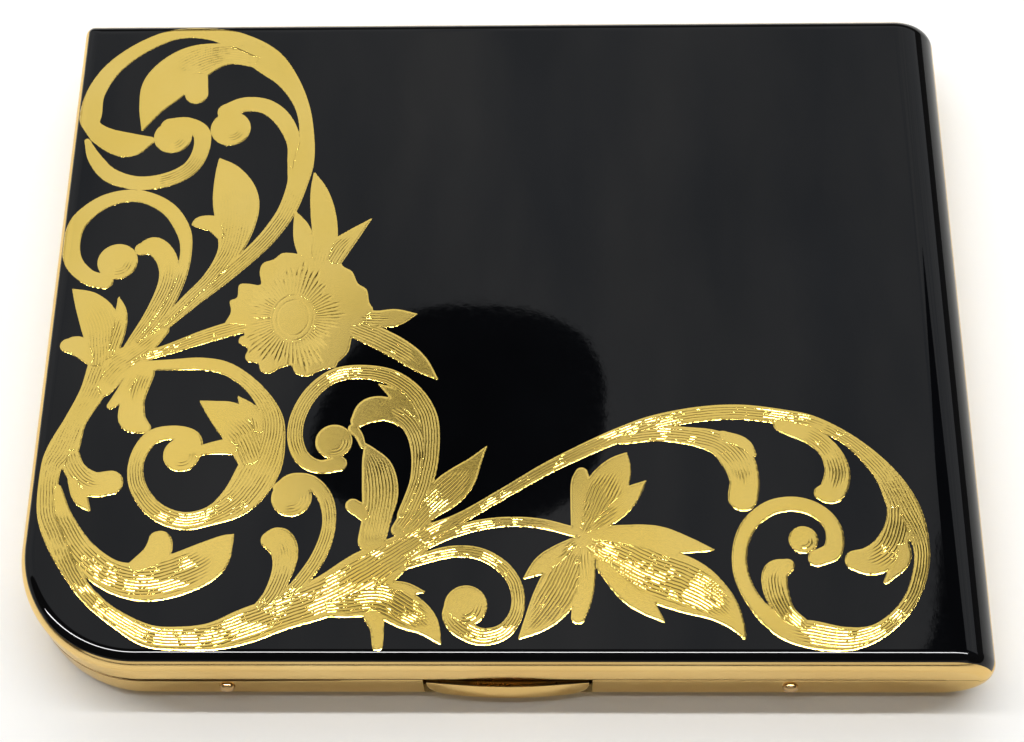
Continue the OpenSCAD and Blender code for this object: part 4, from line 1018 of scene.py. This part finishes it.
def plan(inset, right, n=10):
    """Outline of the case drawn in by inset and cut square at x = right, anticlockwise."""
    small = 0.3
    near, far = max(CORNER_R - inset, small), max(INNER_BACK_R - inset, small)
    low, high, left = -HY + inset, HY - inset, -HX + inset
    corners = [(right - small, low + small, small, 270), (right - small, high - small, small, 0),
               (left + far, high - far, far, 90), (left + near, low + near, near, 180)]
    return [(x + r * math.cos(math.radians(a)), y + r * math.sin(math.radians(a)))
            for x, y, r, start in corners for a in np.linspace(start, start + 90, n)]


def lathe(profile, centre, n=160):
    """Rings of points from (radius, height) pairs round a vertical axis."""
    return [[(centre[0] + r * math.cos(a), centre[1] + r * math.sin(a), z)
             for a in np.linspace(0, 2 * math.pi, n, endpoint=False)] for r, z in profile]


def loft(name, rings, material, closed=False, angle=35):
    """A skin through equal rings; closed joins the last to the first, else both ends are capped."""
    n = len(rings[0])
    verts = [p for ring in rings for p in ring]
    faces = []
    for j in range(len(rings) - (0 if closed else 1)):
        for k in range(n):
            a, b = j * n + k, j * n + (k + 1) % n
            c, d = ((j + 1) % len(rings)) * n + (k + 1) % n, ((j + 1) % len(rings)) * n + k
            faces.append((a, b, c, d))
    if not closed:
        faces += [tuple(range(n))[::-1], tuple(range(len(verts) - n, len(verts)))]
    obj = new_object(name, verts, faces, material)
    weld(obj)
    sharpen(obj, angle)
    return obj


def eased(node, body, slot, material, width=0.05):
    """A part as drawn in the CAD, with its sharp edges broken."""
    mesh = NODES[node].data.copy()
    mesh.materials.clear()
    mesh.materials.append(material)
    obj = bpy.data.objects.new(node + "_eased", mesh)
    obj.matrix_world = NODES[node].matrix_world.copy()
    bpy.context.scene.collection.objects.link(obj)
    weld(obj)
    mesh.polygons.foreach_set("use_smooth", [True] * len(mesh.polygons))
    sharpen(obj, 30)
    ease = obj.modifiers.new("ease", "BEVEL")
    ease.width = width * MM
    ease.segments = 2
    ease.limit_method = "ANGLE"
    ease.angle_limit = math.radians(40)
    return place(obj, body, slot, node)


# mirror: a bevelled glass in a beaded frame
glass = loft("mirror_plate", [[(x, y, z) for x, y in plan(MIRROR_INSET + d, MIRROR_RIGHT - d)]
                              for d, z in ((0.8, 8.4), (0.8, 7.78), (3.9, 7.4))], M_MIRROR, angle=1)
place(glass, "lid", "mirror", "mirror_glass")
bead = [(0, 8.7), (0, 7.42), (0.06, 7.32), (0.12, 7.42), (0.2, 7.28), (0.36, 7.19), (0.6, 7.15),
        (0.85, 7.16), (1.08, 7.21), (1.25, 7.29), (1.3, 7.34), (1.42, 7.32), (1.54, 7.34), (1.6, 7.4),
        (0.8, 7.4), (0.8, 8.7)]
frame_piece = loft("mirror_bezel", [[(x, y, z) for x, y in plan(MIRROR_INSET + d, MIRROR_RIGHT - d)]
                                    for d, z in bead], M_GILT, closed=True, angle=50)
place(frame_piece, "lid", "gilt", "mirror_frame")
eased("mirror_backing", "lid", "card", M_CARD)

# base fittings
eased("deck_plate", "base", "brass_plate", M_DECK, 0.08)
# the inner rim gets a darker brass: painted shade for the shadow seen through the seam gap
eased("inner_rim", "base", "brass_plate", plain_metal("rim_painted_shade", (0.40, 0.26, 0.11), 0.36), 0.05)
eased("door_lugs", "base", "brass_plate", M_BRASS, 0.12)
eased("base_hinge", "base", "brass_plate", M_BRASS, 0.08)
eased("lid_hinge", "lid", "brass_plate", M_BRASS, 0.08)
eased("lid_keeper", "lid", "brass_plate", M_BRASS, 0.08)
eased("catch_spring", "base", "steel", M_STEEL, 0.04)
eased("hinge_pin", "base", "steel", M_STEEL, 0.15)
eased("door_pin", "base", "steel", M_STEEL, 0.12)
eased("door_knuckle", "inner_door", "brass_plate", M_BRASS, 0.1)
eased("door_tab", "inner_door", "gilt", M_GILT, 0.1)

WELL = (WELL_X, WELL_Y)
cup_profile = [(0, 0.7), (23.6, 0.7), (23.85, 0.76), (24, 0.95), (24, 4.4), (24.9, 4.4), (24.88, 4.5),
               (24.78, 4.57), (24.6, 4.6), (23.95, 4.6), (23.72, 4.55), (23.6, 4.42), (23.6, 1.5),
               (23.52, 1.22), (23.3, 1.1), (0, 1.1)]
cup = loft("well_cup", lathe(cup_profile, WELL), M_TURNED, closed=True)
place(cup, "base", "gilt", "powder_well")
ring_profile = [(22, 1.95), (23.5, 1.95), (23.55, 2.0), (23.55, 2.4), (23.5, 2.45), (23.2, 2.45), (23.1, 2.4),
                (23.0, 2.45), (22.15, 2.45), (22, 2.38), (22, 2.26), (22.6, 2.26), (22.6, 2.14), (22, 2.14)]
ring = loft("sifter_band", lathe(ring_profile, WELL), M_TURNED, closed=True)
place(ring, "base", "gilt", "sifter_ring")


def disc_rings(radius, z, centre, step):
    """Rings of a disc with an uneven surface; z(x, y, share) gives each height."""
    out = []
    for r in np.linspace(radius, 0.001, int(radius / step)):
        ring = lathe([(r, 0)], centre, ROUND_N)[0]
        out.append([(x, y, z(x - centre[0], y - centre[1], r / radius)) for x, y, _ in ring])
    return out


def powder_height(x, y, share):
    lumps = 0.05 * math.sin(1.1 * x + 0.6 * y) * math.sin(0.9 * y - 0.5 * x)
    lumps += 0.03 * math.sin(2.3 * x + 1.7 * y + 1)
    drift = 0.12 * math.exp(-((x + 6) ** 2 + (y - 5) ** 2) / 60)
    return 1.78 + lumps - drift + 0.02 * math.cos(9 * math.atan2(y, x)) * share


powder_foot = lathe([(23.2, 1.1), (23.5, 1.16)], WELL, ROUND_N)
powder = loft("powder_bed", powder_foot + disc_rings(23.5, powder_height, WELL, 0.5), M_POWDER)
place(powder, "base", "powder", "loose_powder")


def net_height(x, y, share):
    return 2.2 + 0.02 * math.sin(3.1 * x) * math.sin(3.1 * y) * (1 - share ** 8)


net = disc_rings(NET_R, net_height, WELL, 0.35)
verts = [p for r in net for p in r]
faces = []
for start in range(0, (len(net) - 1) * ROUND_N, ROUND_N):
    for k in range(ROUND_N):
        a, b = start + k, start + (k + 1) % ROUND_N
        faces.append((a, b, b + ROUND_N, a + ROUND_N))
gauze = new_object("sifter_net", verts, faces, M_GAUZE)
place(gauze, "base", "gauze", "sifter_gauze")


def bake(obj):
    """Applies an object's modifiers to its own mesh."""
    bpy.context.view_layer.update()
    done = bpy.data.meshes.new_from_object(obj.evaluated_get(bpy.context.evaluated_depsgraph_get()))
    obj.modifiers.clear()
    obj.data = done


def puffed(node, name, material):
    """The powder puff: the CAD's disc blown up as cloth and held near its drawn size."""
    obj = bpy.data.objects.new(name, NODES[node].data.copy())
    obj.data.materials.clear()
    bpy.context.scene.collection.objects.link(obj)
    big = 20.0                    # the cloth is solved on a pad this many times its size
    most = 0.0003                 # no point moves further than this, in metres
    remesh = obj.modifiers.new("remesh", "REMESH")
    remesh.mode = "VOXEL"
    remesh.voxel_size = 0.0006
    bake(obj)
    rest = np.array([v.co for v in obj.data.vertices])
    mid = (rest.min(0) + rest.max(0)) / 2
    size = rest.max(0) - rest.min(0)
    obj.data.vertices.foreach_set("co", ((rest - mid) * big).ravel())
    pinned = obj.vertex_groups.new(name="seam")
    radius = np.hypot(*(rest - mid)[:, :2].T)
    seam = [int(k) for k in np.nonzero((radius > 0.485 * size[0]) | (radius < 0.0006))[0]]
    pinned.add(seam, 1.0, "ADD")
    sim = obj.modifiers.new("cloth", "CLOTH")
    s = sim.settings
    s.quality = 6
    s.mass = 0.2
    s.tension_stiffness = s.compression_stiffness = 12
    s.bending_stiffness = 0.3
    s.use_pressure = True
    s.uniform_pressure_force = 4
    s.vertex_group_mass = "seam"
    s.shrink_min = -0.04
    s.effector_weights.gravity = 0
    scene = bpy.context.scene
    for f in range(1, 21):
        scene.frame_set(f)
    bake(obj)
    scene.frame_set(1)
    now = np.array([v.co for v in obj.data.vertices]) / big + mid
    move = now - rest
    length = np.linalg.norm(move, axis=1, keepdims=True)
    rest = rest + move * np.minimum(1, most / np.maximum(length, 1e-9))
    rest[:, 2] = np.clip(rest[:, 2], 2.47 * MM, 4.47 * MM)
    r = rest[:, :2] - mid[:2]
    far = np.linalg.norm(r, axis=1, keepdims=True)
    rest[:, :2] = mid[:2] + r * np.minimum(1, 21.4 * MM / np.maximum(far, 1e-9))
    obj.data.vertices.foreach_set("co", rest.ravel())
    obj.data.materials.append(material)
    obj.data.polygons.foreach_set("use_smooth", [True] * len(obj.data.polygons))
    smooth = obj.modifiers.new("smooth", "SUBSURF")
    smooth.levels = smooth.render_levels = 1
    bake(obj)
    return obj


puff = puffed("powder_puff", "puff_pad", M_PUFF)
place(puff, "base", "puff", "powder_puff")

# the satin ribbon lies across the puff and its ends are sewn in at the edge
lo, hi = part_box("puff_ribbon")
half_l, half_w = (hi.x - lo.x) / 2 / MM - 0.05, (hi.y - lo.y) / 2 / MM - 0.05
rings = []
for t in np.linspace(-1, 1, 90):
    pinch = 1 - 0.12 * abs(t) ** 6
    lift = 0.045 * math.sin(9 * t + 1) * (1 - abs(t)) + 0.01
    top_side, under = [], []
    for u in np.linspace(-1, 1, 15):
        x, y = WELL_X + half_l * t, WELL_Y + half_w * u * pinch
        z = 4.54 + lift * (1 - 0.6 * u * u) + 0.012 * math.cos(5 * math.pi * u) * abs(t) ** 4
        hem = 0.012 if abs(u) > 0.8 else 0.0
        top_side.append((x, y, min(z + hem + 0.02, 4.62)))
        under.append((x, y, 4.505))
    rings.append(top_side + under[::-1])
ribbon = loft("puff_band", rings, M_RIBBON, angle=60)
place(ribbon, "base", "ribbon", "puff_ribbon")


DOOR_BACK = 23.3                  # the door's disc is cut straight here, in front of its hinge


def door_mesh():
    """The inner door: a thin turned disc with a raised border, cut straight behind."""
    profile = [(0.001, 4.85), (25.2, 4.85), (25.34, 4.88), (25.4, 4.97), (25.4, 5.1), (25.34, 5.2),
               (25.2, 5.25), (24.9, 5.25), (24.75, 5.2), (24.6, 5.17), (24.1, 5.17), (24.0, 5.2),
               (23.9, 5.17), (23.0, 5.17), (22.9, 5.2), (22.8, 5.17)]
    profile += [(r, 5.17 + 0.035 * math.cos(math.pi * r / 46)) for r in np.linspace(22, 0.001, 12)]
    rings = lathe(profile, WELL, 180)
    obj = loft("door_leaf", rings, M_TURNED, angle=40)
    bm = bmesh.new()
    bm.from_mesh(obj.data)
    geom = bm.verts[:] + bm.edges[:] + bm.faces[:]
    cut = bmesh.ops.bisect_plane(bm, geom=geom, plane_co=(0, DOOR_BACK * MM, 0), plane_no=(0, 1, 0),
                                 clear_outer=True)
    bmesh.ops.holes_fill(bm, edges=[e for e in cut["geom_cut"] if isinstance(e, bmesh.types.BMEdge)])
    bm.to_mesh(obj.data)
    bm.free()
    sharpen(obj, 40)
    return obj


place(door_mesh(), "inner_door", "gilt", "inner_door")

# ---- floor and light -------------------------------------------------------------------
# A white table under a large soft panel, in a room that is dim in front of it.
floor_mat = Nodes("floor").set(Roughness=0.55)
floor_cloud = floor_mat.noise(0.004, 3)
floor_tint = floor_mat.ramp(floor_cloud, "Fac", [(0.3, (0.86, 0.855, 0.83)), (0.7, (0.89, 0.885, 0.865))])
floor_mat.link(floor_tint, "Color", floor_mat.bsdf, "Base Color")
TABLE = 4000                      # half its side
floor = new_object("floor", [(x * TABLE, y * TABLE, 0) for x, y in ((-1, -1), (1, -1), (1, 1), (-1, 1))],
                   [(0, 1, 2, 3)], floor_mat.material, smooth=False)

PANEL_Z = 500                     # height of the panel over the table


def card(name, outline, strength, z=PANEL_Z, mottled=False):
    """A flat glowing or dark card over the table, seen only in reflections."""
    mat = bpy.data.materials.new(name)
    mat.use_nodes = True
    tree = mat.node_tree
    tree.nodes.clear()
    glow = tree.nodes.new("ShaderNodeEmission")
    glow.inputs["Strength"].default_value = strength
    if mottled:
        # an uneven ceiling, brushed along y
        place_in = tree.nodes.new("ShaderNodeTexCoord")
        mapping = tree.nodes.new("ShaderNodeMapping")
        mapping.inputs["Scale"].default_value = (26, 7, 1)
        cloud = tree.nodes.new("ShaderNodeTexNoise")
        cloud.inputs["Scale"].default_value = 1.0
        cloud.inputs["Detail"].default_value = 4
        band = tree.nodes.new("ShaderNodeValToRGB")
        band.color_ramp.elements[0].position = 0.3
        band.color_ramp.elements[0].color = (0.62, 0.66, 0.72, 1)
        band.color_ramp.elements[1].position = 0.7
        band.color_ramp.elements[1].color = (1, 1, 1, 1)
        tree.links.new(place_in.outputs["Object"], mapping.inputs["Vector"])
        tree.links.new(mapping.outputs["Vector"], cloud.inputs["Vector"])
        tree.links.new(cloud.outputs["Fac"], band.inputs["Fac"])
        tree.links.new(band.outputs["Color"], glow.inputs["Color"])
    out = tree.nodes.new("ShaderNodeOutputMaterial")
    tree.links.new(glow.outputs[0], out.inputs["Surface"])
    points = [(*p, z) if len(p) == 2 else p for p in outline]
    obj = new_object(name, points, [tuple(range(len(points)))], mat, smooth=False)
    obj.visible_camera = False
    obj.visible_shadow = False
    return obj


def rounded(points, radius, n=8):
    """Outline with its corners rounded by short curves."""
    out = []
    for k, p in enumerate(points):
        p = np.array(p, float)
        a, b = np.array(points[k - 1], float), np.array(points[(k + 1) % len(points)], float)
        ra = min(radius, 0.45 * np.linalg.norm(a - p))
        rb = min(radius, 0.45 * np.linalg.norm(b - p))
        s, e = p + (a - p) / np.linalg.norm(a - p) * ra, p + (b - p) / np.linalg.norm(b - p) * rb
        for t in np.linspace(0, 1, n):
            out.append(tuple((1 - t) ** 2 * s + 2 * t * (1 - t) * p + t * t * e))
    return out


card("panel", rounded([(-1500, 112), (133, 112), (143, 185), (330, 330), (520, 185), (1500, 112),
                       (1500, 1000), (-1500, 1000)], 26), 1.08, mottled=True)
card("notch", [(128, 60), (1200, 60), (1200, 360), (128, 360)], 0.02, z=PANEL_Z + 4)
card("blob", rounded([(-66, 96), (14, 90), (20, 152), (-46, 158)], 40), 0.02, z=PANEL_Z - 200)

front = card("front", [(-900, -900, 120), (900, -900, 120), (900, -900, 640), (-900, -900, 640)], 0.75)
front.visible_diffuse = False
side = card("left", [(-1000, -300, 60), (-1000, 900, 60), (-1000, 900, 500), (-1000, -300, 500)], 0.7)
side.visible_diffuse = False

world = bpy.data.worlds.new("studio")
bpy.context.scene.world = world
world.use_nodes = True
world.node_tree.nodes["Background"].inputs[0].default_value = (1.0, 0.93, 0.85, 1)
world.node_tree.nodes["Background"].inputs[1].default_value = 0.1
bpy.context.scene.view_settings.view_transform = "Standard"


def area(name, at, aim, size, power, colour=(1, 1, 1), glossy=False):
    data = bpy.data.lights.new(name, "AREA")
    data.shape = "RECTANGLE"
    data.size, data.size_y = size[0] * MM, size[1] * MM
    data.energy = power
    data.color = colour
    obj = bpy.data.objects.new(name, data)
    obj.location = Vector(at) * MM
    obj.rotation_euler = (Vector(aim) - Vector(at)).to_track_quat("-Z", "Y").to_euler()
    obj.visible_glossy = glossy
    bpy.context.scene.collection.objects.link(obj)


strip = card("strip", [(-450, -60), (450, -60), (450, -34), (-450, -34)], 62, z=420)
strip.visible_diffuse = False
area("key", (0, 52, 420), (0, 52, 0), (900, 16), 1.75)
area("fill", (-40, 120, 460), (0, 60, 0), (700, 600), 0.25, colour=(1.0, 0.985, 0.95))
area("back", (0, 420, 330), (0, 120, 0), (700, 200), 1.3)
